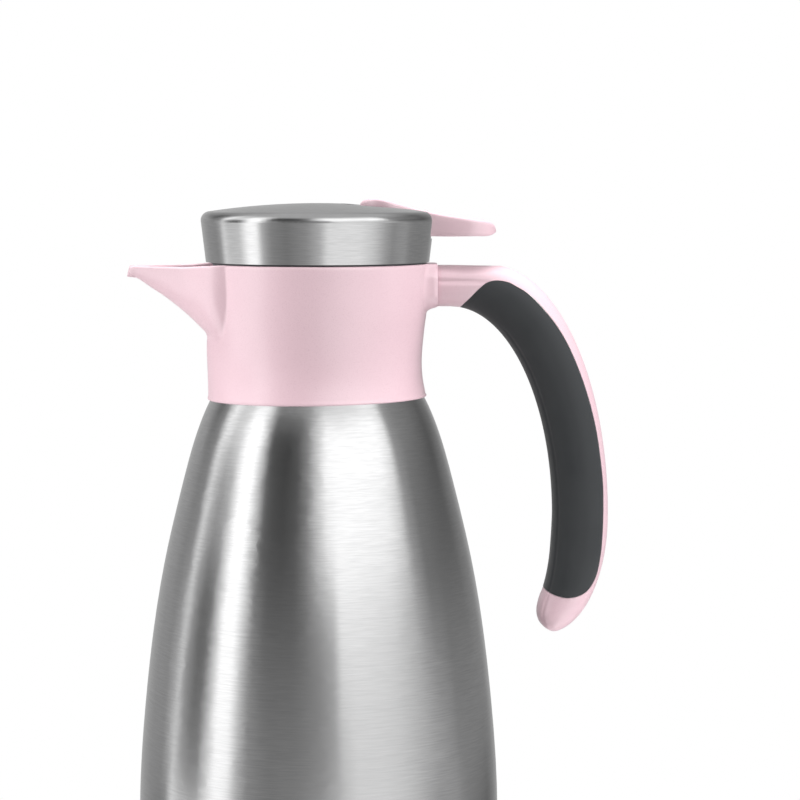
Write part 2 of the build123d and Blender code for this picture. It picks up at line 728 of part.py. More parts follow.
with BuildPart() as cap_carrier:
    revolve(cap_section(STEEL), axis=Axis.Z)
    revolve(cap_section(STEEL + CARRIER_WALL), axis=Axis.Z, mode=Mode.SUBTRACT)
    with BuildSketch(Plane.XY.offset(CAP_BOTTOM - 1)):
        Circle(CAP_BOTTOM_RADIUS - STEEL - CARRIER_WALL)
    extrude(amount=2, mode=Mode.SUBTRACT)
    extrude(Plane.XY.offset(SLOT_FLOOR) * slot_plan(-0.2), amount=20, mode=Mode.SUBTRACT)
    # Floor that the screws hold, open in the middle for the stem and under the slot for the lever's arm
    with BuildSketch(Plane.XY.offset(CAP_BOTTOM)):
        Circle(CAP_BOTTOM_RADIUS - STEEL - 0.4)
        Circle(DECK_BOSS + 1.4, mode=Mode.SUBTRACT)
    extrude(amount=1.6)
    with BuildSketch(Plane.XY.offset(CAP_BOTTOM)):
        with screw_places():
            Circle(3.6)
    extrude(amount=9.0)
    with BuildSketch(Plane.XY.offset(CAP_BOTTOM)):
        with screw_places():
            Circle(CAP_SCREW_RADIUS)
    extrude(amount=8.0, mode=Mode.SUBTRACT)
    # Ears of the pivot, standing on the floor each side of the lever
    for side_sign in (-1, 1):
        middle_y = side_sign * (EAR_INNER + EAR_OUTER) / 2
        with BuildSketch(Plane.XY.offset(CAP_BOTTOM)):
            with Locations((PIVOT_X, middle_y)):
                Rectangle(2 * EAR_HALF_LENGTH, EAR_OUTER - EAR_INNER)
        extrude(amount=EAR_TOP - CAP_BOTTOM)
    with BuildSketch(Plane.XZ.offset(-EAR_OUTER)):
        with Locations((PIVOT_X, PIVOT_Z)):
            Circle(PIN_RADIUS)
    extrude(amount=PIN_LENGTH, mode=Mode.SUBTRACT)
finish(cap_carrier, "cap_carrier")

with BuildPart() as cap_screws:
    with BuildSketch(Plane.XY.offset(DECK_Z)):
        with screw_places():
            Circle(CAP_SCREW_HEAD)
    extrude(amount=CAP_SCREW_HEAD_HEIGHT)
    with BuildSketch(Plane.XY.offset(DECK_Z + CAP_SCREW_HEAD_HEIGHT)):
        with screw_places():
            Circle(CAP_SCREW_RADIUS)
    extrude(amount=8.0)
finish(cap_screws, "cap_screws")

with BuildPart() as lever_pin:
    with BuildSketch(Plane.XZ.offset(-EAR_OUTER)):
        with Locations((PIVOT_X, PIVOT_Z)):
            Circle(PIN_RADIUS)
    extrude(amount=PIN_LENGTH)
finish(lever_pin, "lever_pin")

# ---- Thumb lever: nose, waist between the ears, thumb paddle, and the forked arm to the stem ----
FORK_TOP = 261.0
FORK_THICKNESS = 2.4
FORK_WIDTH = 8.4
FORK_REACH = -3.4
HUB_HALF_WIDTH = 6.7
LEVER_HUB_RADIUS = 3.6


def lever_plan():
    """Plan of the lever's visible top: round nose, narrow waist at the cap's rim, oval paddle."""
    with BuildSketch(Plane.XY) as plan:
        with Locations((LEVER_NOSE_CENTRE, 0)):
            Circle(LEVER_NOSE_RADIUS)
        with Locations((PADDLE_CENTRE, 0)):
            Ellipse(LEVER_TIP - PADDLE_CENTRE, PADDLE_HALF_WIDTH)
        with Locations(((LEVER_NOSE_CENTRE + PADDLE_CENTRE) / 2, 0)):
            Rectangle(PADDLE_CENTRE - LEVER_NOSE_CENTRE, 2 * LEVER_WAIST)
    return plan.sketch


with BuildPart() as thumb_lever:
    # Side view of the nose and paddle, extruded across and cut to the plan
    with BuildSketch(Plane.XZ):
        with BuildLine():
            crest = Spline(
                (14.6, 271.4),
                (19.0, 273.9),
                (26.0, 273.6),
                (36.0, 270.4),
                (48.0, 268.0),
                (59.0, 266.4),
            )
            tip = ThreePointArc(crest @ 1, (63.4, 264.9), (LEVER_TIP, 262.4))
            under = Spline(tip @ 1, (62.6, 261.2), (56.0, 260.7), (44.0, 260.6), (36.0, 260.8))
            Polyline(under @ 1, (27.0, 261.6), (20.0, 264.6), (15.2, 268.4), crest @ 0)
        make_face()
    extrude(amount=PADDLE_HALF_WIDTH + 2, both=True)
    extrude(Plane.XY.offset(SLOT_FLOOR - 10) * lever_plan(), amount=40, mode=Mode.INTERSECT)
    # Thumb paddle is hollow below
    with BuildSketch(Plane.XY.offset(258.0)):
        with Locations((53.0, 0)):
            Ellipse(9.2, PADDLE_HALF_WIDTH - 2.4)
    extrude(amount=6.2, mode=Mode.SUBTRACT)
    # Pockets that clear the ears each side of the hub
    with BuildSketch(Plane.XY.offset(FORK_TOP - 10)):
        for side_sign in (-1, 1):
            with Locations((PIVOT_X, side_sign * (HUB_HALF_WIDTH + 5))):
                Rectangle(2 * EAR_HALF_LENGTH + 3.0, 10.0)
    extrude(amount=EAR_TOP + 1.3 - FORK_TOP + 10, mode=Mode.SUBTRACT)
    # Hub on the pin, and the arm with its fork round the stem
    with BuildSketch(Plane.XZ.offset(-HUB_HALF_WIDTH)):
        with Locations((PIVOT_X, PIVOT_Z)):
            Circle(LEVER_HUB_RADIUS)
    extrude(amount=2 * HUB_HALF_WIDTH)
    with BuildSketch(Plane.XY.offset(FORK_TOP - FORK_THICKNESS)):
        with Locations(((PIVOT_X + FORK_REACH) / 2, 0)):
            Rectangle(PIVOT_X - FORK_REACH, FORK_WIDTH)
        with Locations((FORK_REACH / 2, 0)):
            Rectangle(-FORK_REACH * 3, 2 * STEM_RADIUS + 0.9, mode=Mode.SUBTRACT)
        Circle(STEM_RADIUS + 0.45, mode=Mode.SUBTRACT)
    extrude(amount=FORK_THICKNESS)
    with BuildSketch(Plane.XZ.offset(-HUB_HALF_WIDTH - 1)):
        with Locations((PIVOT_X, PIVOT_Z)):
            Circle(PIN_RADIUS + 0.05)
    extrude(amount=2 * HUB_HALF_WIDTH + 2, mode=Mode.SUBTRACT)
finish(thumb_lever, "thumb_lever")

# ---- Valve: stem, clip on its top, disc and seal below ----
SEAL_THICKNESS = 2.0
DISC_THICKNESS = 2.6
SEAL_BOTTOM = SEAT_TOP + 0.05 + VALVE_LIFT
DISC_BOTTOM = SEAL_BOTTOM + SEAL_THICKNESS
STEM_BOTTOM = DISC_BOTTOM + 0.6
CLIP_Z = FORK_TOP + 0.85
CLIP_THICKNESS = 1.4
STEM_TOP = CLIP_Z + CLIP_THICKNESS + 0.8
CLIP_RADIUS = 4.4

with BuildPart() as valve_stem:
    with BuildSketch(Plane.XY.offset(STEM_BOTTOM)):
        Circle(STEM_RADIUS)
    extrude(amount=STEM_TOP - STEM_BOTTOM)
    with BuildSketch(Plane.XZ):
        with BuildLine():
            neck = STEM_RADIUS - 0.6
            Polyline(
                (neck, CLIP_Z),
                (STEM_RADIUS + 1, CLIP_Z),
                (STEM_RADIUS + 1, CLIP_Z + CLIP_THICKNESS),
                (neck, CLIP_Z + CLIP_THICKNESS),
                close=True,
            )
        make_face()
    revolve(axis=Axis.Z, mode=Mode.SUBTRACT)
finish(valve_stem, "valve_stem")

with BuildPart() as stem_clip:
    with BuildSketch(Plane.XY.offset(CLIP_Z)):
        Circle(CLIP_RADIUS)
        Circle(STEM_RADIUS - 0.6, mode=Mode.SUBTRACT)
        with Locations((-CLIP_RADIUS / 2 - 0.5, 0)):
            Rectangle(CLIP_RADIUS + 1, 2 * (STEM_RADIUS - 0.6), mode=Mode.SUBTRACT)
    extrude(amount=CLIP_THICKNESS)
finish(stem_clip, "stem_clip")

with BuildPart() as valve_disc:
    with BuildSketch(Plane.XY.offset(DISC_BOTTOM)):
        Circle(VALVE_RADIUS)
    extrude(amount=DISC_THICKNESS)
    with BuildSketch(Plane.XY.offset(DISC_BOTTOM + DISC_THICKNESS)):
        Circle(STEM_RADIUS + 2.2)
    extrude(amount=3.0)
    with BuildSketch(Plane.XY.offset(STEM_BOTTOM)):
        Circle(STEM_RADIUS)
    extrude(amount=10.0, mode=Mode.SUBTRACT)
finish(valve_disc, "valve_disc")

with BuildPart() as valve_seal:
    revolve(ring_section(SEAT_BORE - 3.0, VALVE_RADIUS + 1.0, SEAL_BOTTOM, DISC_BOTTOM), axis=Axis.Z)
finish(valve_seal, "valve_seal")

# ---- Return spring: between the stem guide and the valve disc ----
SPRING_WIRE = 0.9
SPRING_RADIUS = 6.4
SPRING_TURNS = 5
SPRING_BOTTOM = DISC_BOTTOM + DISC_THICKNESS + SPRING_WIRE / 2 + 0.1
SPRING_TOP = GUIDE_Z - SPRING_WIRE / 2 - 0.1

with BuildPart() as return_spring:
    with BuildLine() as coil:
        Helix((SPRING_TOP - SPRING_BOTTOM) / SPRING_TURNS, SPRING_TOP - SPRING_BOTTOM, SPRING_RADIUS,
              center=(0, 0, SPRING_BOTTOM))
    with BuildSketch(Plane(origin=coil.line @ 0, z_dir=coil.line % 0)):
        Circle(SPRING_WIRE / 2)
    sweep(path=coil.line, is_frenet=True)
finish(return_spring, "return_spring")
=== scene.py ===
import json
import math

import bmesh
import bpy
import numpy as np
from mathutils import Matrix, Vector


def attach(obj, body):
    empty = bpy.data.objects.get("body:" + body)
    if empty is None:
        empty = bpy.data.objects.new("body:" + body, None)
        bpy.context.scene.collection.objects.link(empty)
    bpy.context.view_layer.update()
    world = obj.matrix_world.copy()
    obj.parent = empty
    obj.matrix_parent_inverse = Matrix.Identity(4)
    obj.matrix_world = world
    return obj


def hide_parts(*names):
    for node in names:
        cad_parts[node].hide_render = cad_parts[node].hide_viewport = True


# Looks of the vacuum jug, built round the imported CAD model. Lengths below are in millimetres unless a
# name ends in _M, and are turned into metres where a mesh is made. The spout points along -X, the
# handle along +X, and +Z is up.
MM = 0.001

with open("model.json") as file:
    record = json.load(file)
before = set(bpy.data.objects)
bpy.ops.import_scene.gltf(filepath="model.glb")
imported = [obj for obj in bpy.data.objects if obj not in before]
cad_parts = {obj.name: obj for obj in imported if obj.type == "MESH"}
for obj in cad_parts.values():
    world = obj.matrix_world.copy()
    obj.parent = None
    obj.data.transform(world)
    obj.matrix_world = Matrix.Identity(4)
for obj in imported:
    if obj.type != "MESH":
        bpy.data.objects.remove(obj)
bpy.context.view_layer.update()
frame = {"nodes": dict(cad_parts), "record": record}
nodes = frame["nodes"]


# ---------------------------------------------------------------- mesh helpers

def mesh_object(name, points, faces):
    """A smooth-shaded object from points in millimetres and faces as index lists."""
    mesh = bpy.data.meshes.new(name)
    mesh.from_pydata([tuple(float(c) * MM for c in point) for point in points], [], faces)
    mesh.validate()
    mesh.shade_smooth()
    piece = bpy.data.objects.new(name, mesh)
    bpy.context.scene.collection.objects.link(piece)
    return piece


def ring_faces(ring_count, ring_size, wrap_rings=False):
    """Quads between successive closed rings, and from the last ring to the first when wrap_rings."""
    faces = []
    spans = ring_count if wrap_rings else ring_count - 1
    for ring in range(spans):
        low = ring * ring_size
        high = ((ring + 1) % ring_count) * ring_size
        for step in range(ring_size):
            after = (step + 1) % ring_size
            faces.append((low + step, low + after, high + after, high + step))
    return faces


def skin_rings(name, rings, wrap_rings=False):
    """Object whose skin runs through rings of points; open ends are closed with a fan."""
    ring_size = len(rings[0])
    points = [tuple(point) for ring in rings for point in ring]
    faces = ring_faces(len(rings), ring_size, wrap_rings)
    if not wrap_rings:
        for ring_index, flip in ((0, True), (len(rings) - 1, False)):
            centre = np.mean(np.array(rings[ring_index]), axis=0)
            points.append(tuple(centre))
            hub = len(points) - 1
            low = ring_index * ring_size
            for step in range(ring_size):
                after = (step + 1) % ring_size
                edge = (low + after, low + step) if flip else (low + step, low + after)
                faces.append((edge[0], edge[1], hub))
    piece = mesh_object(name, points, faces)
    outward_normals(piece)
    return piece


def outward_normals(piece):
    """Make every face of a closed piece point outwards."""
    work = bmesh.new()
    work.from_mesh(piece.data)
    bmesh.ops.recalc_face_normals(work, faces=work.faces)
    work.to_mesh(piece.data)
    work.free()


def apply_modifiers(piece):
    """Replace a piece's mesh by what its modifiers make of it."""
    graph = bpy.context.evaluated_depsgraph_get()
    graph.update()
    evaluated = piece.evaluated_get(graph)
    mesh = bpy.data.meshes.new_from_object(evaluated, depsgraph=graph)
    piece.modifiers.clear()
    piece.data = mesh


def boolean(piece, cutter, operation):
    """Cut a piece with a closed cutter, and remove the cutter."""
    modifier = piece.modifiers.new("cut", "BOOLEAN")
    modifier.object = cutter
    modifier.operation = operation
    modifier.solver = "EXACT"
    apply_modifiers(piece)
    bpy.data.objects.remove(cutter)


def round_edges(piece, width, segments, angle):
    """Round the edges that turn by more than an angle in degrees, by a width in millimetres."""
    modifier = piece.modifiers.new("rounding", "BEVEL")
    modifier.width = width * MM
    modifier.segments = segments
    modifier.limit_method = "ANGLE"
    modifier.angle_limit = math.radians(angle)
    modifier.harden_normals = False
    modifier.miter_outer = "MITER_ARC"
    apply_modifiers(piece)
    piece.data.shade_smooth()


def smooth_step(value):
    """0 below 0, 1 above 1, and a smooth rise between."""
    clipped = np.clip(value, 0.0, 1.0)
    return clipped * clipped * (3.0 - 2.0 * clipped)


def smooth_max(first, second, blend):
    """The larger of two heights, with their meeting line rounded over the blend distance."""
    overlap = np.maximum(blend - np.abs(first - second), 0.0) / blend
    return np.maximum(first, second) + overlap * overlap * blend * 0.25


def smooth_min(first, second, blend):
    """The smaller of two heights, with their meeting line rounded over the blend distance."""
    return -smooth_max(-first, -second, blend)


def curve_through(points):
    """A smooth function through a few (place, value) points: a cubic Hermite curve with averaged slopes."""
    knots, values = np.array(points, float).T
    steps = np.diff(values) / np.diff(knots)
    slopes = np.zeros(len(knots))
    slopes[1:-1] = (steps[1:] + steps[:-1]) / 2
    slopes[0] = steps[0]
    slopes[-1] = steps[-1]

    def at(place):
        place = np.clip(place, knots[0], knots[-1])
        cell = np.clip(np.searchsorted(knots, place) - 1, 0, len(knots) - 2)
        width = knots[cell + 1] - knots[cell]
        part = (place - knots[cell]) / width
        rise = part * part * (3 - 2 * part)
        lead = part * (1 - part) ** 2 * width * slopes[cell]
        trail = part * part * (part - 1) * width * slopes[cell + 1]
        return values[cell] * (1 - rise) + values[cell + 1] * rise + lead + trail

    return at


# ---------------------------------------------------------------- node helpers for materials

NOISE_LOW = 0.3             # the part of a noise's range that most of it falls in
NOISE_HIGH = 0.7
AXIS_GUARD_M = 0.0005       # keeps the direction round the axis defined near the axis itself


def maths_node(tree, operation, first, second=0.0):
    """Output of a maths node whose inputs are numbers or other nodes' outputs."""
    node = tree.nodes.new("ShaderNodeMath")
    node.operation = operation
    for index, value in enumerate((first, second)):
        if isinstance(value, (int, float)):
            node.inputs[index].default_value = value
        else:
            tree.links.new(value, node.inputs[index])
    return node.outputs[0]


class Shade:
    """A material's node tree, with short calls for the nodes it uses."""

    def __init__(self, name, colour, roughness, metallic=0.0):
        self.material = bpy.data.materials.new(name)
        self.material.use_nodes = True
        self.tree = self.material.node_tree
        self.surface = self.tree.nodes["Principled BSDF"]
        self.surface.inputs["Base Color"].default_value = (*colour, 1.0)
        self.surface.inputs["Roughness"].default_value = roughness
        self.surface.inputs["Metallic"].default_value = metallic
        self.place = self.tree.nodes.new("ShaderNodeTexCoord").outputs["Object"]

    def link(self, output, target):
        self.tree.links.new(output, target)

    def maths(self, operation, first, second=0.0):
        return maths_node(self.tree, operation, first, second)

    def stretched(self, scale):
        """The place in the object, scaled by an amount per metre along each axis."""
        node = self.tree.nodes.new("ShaderNodeMapping")
        node.inputs["Scale"].default_value = scale
        self.link(self.place, node.inputs["Vector"])
        return node.outputs["Vector"]

    def around(self, per_turn, per_metre):
        """Coordinates that run round the Z axis and along it, without a seam."""
        split = self.tree.nodes.new("ShaderNodeSeparateXYZ")
        self.link(self.place, split.inputs[0])
        x, y, z = split.outputs
        squares = self.maths("ADD", self.maths("MULTIPLY", x, x), self.maths("MULTIPLY", y, y))
        radius = self.maths("POWER", squares, 0.5)
        safe = self.maths("MAXIMUM", radius, AXIS_GUARD_M)
        merge = self.tree.nodes.new("ShaderNodeCombineXYZ")
        for output, target in ((x, merge.inputs[0]), (y, merge.inputs[1])):
            self.link(self.maths("MULTIPLY", self.maths("DIVIDE", output, safe), per_turn), target)
        # The radius is added so that flat faces get rings as well
        self.link(self.maths("MULTIPLY", self.maths("ADD", z, radius), per_metre), merge.inputs[2])
        return merge.outputs[0]

    def noise(self, vector, detail, roughness=0.5):
        """Noise over coordinates that are already scaled."""
        node = self.tree.nodes.new("ShaderNodeTexNoise")
        self.link(vector, node.inputs["Vector"])
        node.inputs["Scale"].default_value = 1.0
        node.inputs["Detail"].default_value = detail
        node.inputs["Roughness"].default_value = roughness
        return node.outputs["Fac"]

    def spread(self, noise, low, high):
        """A noise's usual range stretched to run from low to high."""
        node = self.tree.nodes.new("ShaderNodeMapRange")
        self.link(noise, node.inputs["Value"])
        node.inputs["From Min"].default_value = NOISE_LOW
        node.inputs["From Max"].default_value = NOISE_HIGH
        node.inputs["To Min"].default_value = low
        node.inputs["To Max"].default_value = high
        return node.outputs["Result"]

    def tint(self, factor, first, second):
        """Base colour that runs from one colour to another with a factor."""
        node = self.tree.nodes.new("ShaderNodeMix")
        node.data_type = "RGBA"
        self.link(factor, node.inputs["Factor"])
        node.inputs["A"].default_value = (*first, 1.0)
        node.inputs["B"].default_value = (*second, 1.0)
        self.link(node.outputs["Result"], self.surface.inputs["Base Color"])

    def rough(self, output):
        self.link(output, self.surface.inputs["Roughness"])

    def bump(self, height, strength, depth_mm):
        """Fine relief on the surface."""
        node = self.tree.nodes.new("ShaderNodeBump")
        node.inputs["Strength"].default_value = strength
        node.inputs["Distance"].default_value = depth_mm * MM
        self.link(height, node.inputs["Height"])
        self.link(node.outputs["Normal"], self.surface.inputs["Normal"])


# ---------------------------------------------------------------- materials

STEEL = (0.71, 0.71, 0.715)
STEEL_DARK = (0.66, 0.66, 0.663)
STEEL_LIGHT = (0.75, 0.75, 0.753)
STREAKS = (5.0, 3600.0)     # scale of the noise round the axis, and per metre along it
LINES = (9.0, 1700.0)
DRAWN_RINGS = (2.0, 700.0)
PINK = (0.82, 0.585, 0.645)
PINK_DEEP = (0.8, 0.565, 0.625)
PINK_GLOSS = 2.0            # refractive index; above common plastic for a lacquered sheen
DRIFT_PER_M = 38.0          # scales of the plastic's drift of tone and of its fine texture
GRAIN_PER_M = 5200.0
CLOUD_PER_M = 60.0


def even(per_metre):
    """The same noise scale along all three axes."""
    return (per_metre, per_metre, per_metre)


def brushed_steel():
    """Steel brushed round the axis: fine streaks, and highlights that spread up and down."""
    shade = Shade("brushed_steel", STEEL, 0.3, metallic=1.0)
    streaks = shade.noise(shade.around(*STREAKS), detail=2.0)
    lines = shade.noise(shade.around(*LINES), detail=1.0)
    both = shade.maths("ADD", shade.maths("MULTIPLY", streaks, 0.6), shade.maths("MULTIPLY", lines, 0.4))
    shade.tint(shade.spread(both, 0.0, 1.0), STEEL_DARK, STEEL_LIGHT)
    shade.rough(shade.spread(both, 0.19, 0.14))
    shade.bump(both, 0.16, 0.005)
    shade.surface.inputs["Anisotropic"].default_value = 0.8
    shade.surface.inputs["Anisotropic Rotation"].default_value = 0.25
    tangent = shade.tree.nodes.new("ShaderNodeTangent")
    tangent.direction_type = "RADIAL"
    tangent.axis = "Z"
    shade.link(tangent.outputs[0], shade.surface.inputs["Tangent"])
    return shade.material


def drawn_steel():
    """Plain drawn steel of the inside: faint rings and a soft sheen."""
    shade = Shade("drawn_steel", (0.6, 0.6, 0.6), 0.32, metallic=1.0)
    rings = shade.noise(shade.around(*DRAWN_RINGS), detail=2.0)
    shade.tint(shade.spread(rings, 0.0, 1.0), (0.54, 0.54, 0.54), (0.64, 0.64, 0.64))
    shade.rough(shade.spread(rings, 0.26, 0.38))
    shade.bump(rings, 0.1, 0.01)
    return shade.material


def moulded_plastic(name, colour, deep, roughness, index=1.5):
    """Moulded plastic: a very fine texture, and a slight drift of tone over a few centimetres."""
    shade = Shade(name, colour, roughness)
    drift = shade.noise(shade.stretched(even(DRIFT_PER_M)), detail=2.0)
    texture = shade.noise(shade.stretched(even(GRAIN_PER_M)), detail=1.0)
    shade.tint(shade.spread(drift, 0.0, 1.0), deep, colour)
    shade.rough(shade.spread(texture, roughness - 0.04, roughness + 0.05))
    shade.bump(texture, 0.12, 0.006)
    shade.surface.inputs["IOR"].default_value = index
    shade.surface.inputs["Specular IOR Level"].default_value = 0.5
    return shade.material


def soft_rubber(name, colour, lighter, pebble_per_m):
    """Soft-touch rubber: matte, finely pebbled, with a faint sheen."""
    shade = Shade(name, colour, 0.6)
    pebble = shade.noise(shade.stretched(even(pebble_per_m)), detail=2.0, roughness=0.6)
    cloud = shade.noise(shade.stretched(even(CLOUD_PER_M)), detail=3.0)
    shade.tint(shade.spread(cloud, 0.0, 1.0), colour, lighter)
    shade.rough(shade.spread(cloud, 0.52, 0.64))
    shade.bump(pebble, 0.25, 0.02)
    shade.surface.inputs["Sheen Weight"].default_value = 0.15
    shade.surface.inputs["Sheen Roughness"].default_value = 0.5
    return shade.material


def silicone_rubber():
    """Smooth dark silicone of the gaskets."""
    shade = Shade("silicone_rubber", (0.1, 0.1, 0.11), 0.5)
    cloud = shade.noise(shade.stretched(even(400.0)), detail=2.0)
    shade.tint(shade.spread(cloud, 0.0, 1.0), (0.09, 0.09, 0.1), (0.12, 0.12, 0.13))
    shade.rough(shade.spread(cloud, 0.42, 0.56))
    shade.bump(cloud, 0.1, 0.01)
    return shade.material


def bright_metal():
    """Small plated parts: screws, pin, spring, stem and clip."""
    shade = Shade("bright_metal", (0.7, 0.7, 0.7), 0.22, metallic=1.0)
    wear = shade.noise(shade.stretched(even(900.0)), detail=3.0)
    shade.tint(shade.spread(wear, 0.0, 1.0), (0.6, 0.6, 0.6), (0.74, 0.74, 0.74))
    shade.rough(shade.spread(wear, 0.16, 0.3))
    shade.bump(wear, 0.06, 0.01)
    return shade.material


# ---------------------------------------------------------------- collar with the beak spout

COLLAR_FOOT = 202.0
COLLAR_FOOT_RISE = 1.1      # the lower edge is a little higher on the handle's side
COLLAR_RIM = 250.8
RIM_ROUND = 0.7
CHAMBER_RADIUS = 38.0
CHAMBER_FLOOR = 236.0
SPOUT_TOP = 249.9
SPOUT_WALL = 1.7
SPOUT_REACH = 68.3
STUB_END = 43.0
STUB_HALF_WIDTH = 10.0
STUB_HALF_HEIGHT = 7.4
STUB_MIDDLE = 242.8
STUB_FLARE = 2.6            # concave flare where the handle's root meets the collar

FLARE_POWER = 2.6           # how sharply the flare curves
STUB_CORNER = 5.0
STUB_SECTOR = -0.8          # the stub lies where the cosine of the angle from -X is below this
BODY_REACH = 30.0           # distance along -X at which the beak's curves start, inside the collar
SEARCH_STEPS = 36
BEAK_SECTOR = 60.0          # degrees either side of -X
LIP_LEAN = 1.1              # the spout's end leans back by this much over LIP_DEPTH
LIP_LOW = 246.0
LIP_DEPTH = 3.6
LIP_BLEND = 0.8
RIDGE_BLEND = 1.2
CREASE_TOP = 0.3            # rounding of the crease between beak and collar, and what it grows by below
CREASE_GROWTH = 1.9
CREASE_HEIGHT = 228.5
CREASE_FADE = 3.5
RIM_SECTION = 249.6         # height at which the rim's walls are measured
BORE_FOOT = 38.3
# Radius and height down the bore below the pour chamber: ledge, seat of the neck insert, flare to the foot
NECK_BORE = [
    (CHAMBER_RADIUS, CHAMBER_FLOOR), (36.4, CHAMBER_FLOOR), (36.4, 226.0), (32.0, 226.0), (32.0, 223.5),
    (34.3, 223.5), (34.3, 215.0), (35.2, 211.0), (36.9, 206.2),
]

# Radius of the collar at a height
collar_radius = curve_through([
    (202, 39.1), (210, 37.6), (216, 37.3), (227, 38.2), (234, 39.1), (251, 40.2)])
# Soft ridge that runs down from the spout: how far out its crest is, and its own radius
ridge_crest = curve_through([(202, 39.3), (212, 39.6), (223, 39.8), (238, 37.5)])
ridge_radius = curve_through([(202, 37.0), (212, 30.0), (223, 24.0), (238, 24.0)])
# The beak at a distance along -X: half its width at the top, its keel's height, and its section's fullness
beak_half_width = curve_through([
    (30, 25.0), (32, 24.7), (34, 24.3), (36, 23.6), (38, 22.5), (41, 20.2), (44, 17.7), (47, 15.4),
    (52, 12.5), (60, 8.1), (SPOUT_REACH, 4.0)])
keel_height = curve_through([
    (30, 219.5), (36, 222.8), (38, 224.4), (40, 226.1), (42, 228.0), (46, 231.8), (50, 235.2), (55, 239.0),
    (60, 242.3), (63, 244.4), (65, 245.6), (SPOUT_REACH, 245.9)])
beak_fullness = curve_through([(30, 2.9), (36, 2.9), (42, 2.3), (50, 1.9), (60, 1.5), (SPOUT_REACH, 1.8)])


def beak_width(reach, height, inset=0.0):
    """Half width of the beak at a distance along -X and a height; negative outside it."""
    top = beak_half_width(reach) - inset * 1.15
    keel = keel_height(reach) + inset
    if inset > 0:
        keel = np.maximum(keel, CHAMBER_FLOOR + 0.6)
    fullness = beak_fullness(reach)
    depth = np.clip((SPOUT_TOP - height) / (SPOUT_TOP - keel), 0.0, 1.0)
    width = top * (1.0 - depth ** fullness) ** (1.0 / fullness)
    return np.where(height < keel, -1.0, width)


def beak_polar(angles, heights, inset=0.0):
    """Distance from the axis to the beak's side, for each height (row) and angle from -X (column)."""
    angle = np.abs(angles)[None, :]
    height = heights[:, None]
    near = np.full((len(heights), len(angles)), BODY_REACH)
    far = np.full_like(near, SPOUT_REACH + 4.0)
    inside_near = beak_width(near * np.cos(angle), height, inset) > near * np.sin(angle)
    for _ in range(SEARCH_STEPS):
        middle = (near + far) / 2
        reach = np.minimum(middle * np.cos(angle), SPOUT_REACH)
        inside = beak_width(reach, height, inset) > middle * np.sin(angle)
        near = np.where(inside, middle, near)
        far = np.where(inside, far, middle)
    end = SPOUT_REACH - LIP_LEAN * np.clip((height - LIP_LOW) / LIP_DEPTH, 0, 1)
    ended = smooth_min(near, end / np.cos(angle), LIP_BLEND)
    return np.where(inside_near & (angle < math.radians(BEAK_SECTOR)), ended, 0.0)


def collar_angles():
    """Angles from -X, closer together at the beak and at the handle's root."""
    fine = np.radians(np.concatenate([
        np.arange(0, 7, 0.35), np.arange(7, 42, 0.7), np.arange(42, 156, 3.0), np.arange(156, 180, 0.8)]))
    return np.concatenate([fine, [math.pi], -fine[:0:-1]])


def collar_outside(angles, heights):
    """Distance from the axis to the collar's outer face."""
    height = heights[:, None]
    body = collar_radius(height) + 0 * angles[None, :]
    bulge = ridge_radius(height)
    centre = ridge_crest(height) - bulge
    side = centre * np.sin(angles)[None, :]
    ridge = centre * np.cos(angles)[None, :] + np.sqrt(np.maximum(bulge ** 2 - side ** 2, 0.0))
    outside = smooth_max(body, ridge, RIDGE_BLEND)
    crease = CREASE_TOP + CREASE_GROWTH * smooth_step((CREASE_HEIGHT - height) / CREASE_FADE)
    outside = smooth_max(outside, beak_polar(angles, heights), crease)
    # Root of the handle: a flat-ended stub with a concave flare
    across = outside * np.sin(angles)[None, :]
    over_y = np.abs(across) - (STUB_HALF_WIDTH - STUB_CORNER)
    over_z = np.abs(height - STUB_MIDDLE) - (STUB_HALF_HEIGHT - STUB_CORNER)
    beyond_corner = np.hypot(np.maximum(over_y, 0), np.maximum(over_z, 0))
    away = beyond_corner + np.minimum(np.maximum(over_y, over_z), 0) - STUB_CORNER
    flare = np.clip(1 - away / STUB_FLARE, 0, 1) ** FLARE_POWER
    behind = np.cos(angles)[None, :] < STUB_SECTOR
    stub = STUB_END / np.maximum(-np.cos(angles)[None, :], 0.5) - outside
    return outside + np.where(behind, flare * stub, 0.0)


def collar_inside(angles, heights):
    """Distance from the axis to the pour chamber's wall and the channel in the spout."""
    chamber = np.full((len(heights), len(angles)), CHAMBER_RADIUS)
    channel = beak_polar(angles, heights, SPOUT_WALL)
    return smooth_max(chamber, np.minimum(channel, SPOUT_REACH + 1), 0.4)


def ring_at(angles, radii, heights):
    """Ring of points about the axis, at an angle from -X."""
    return np.column_stack([-radii * np.cos(angles), radii * np.sin(angles), heights + 0 * angles])


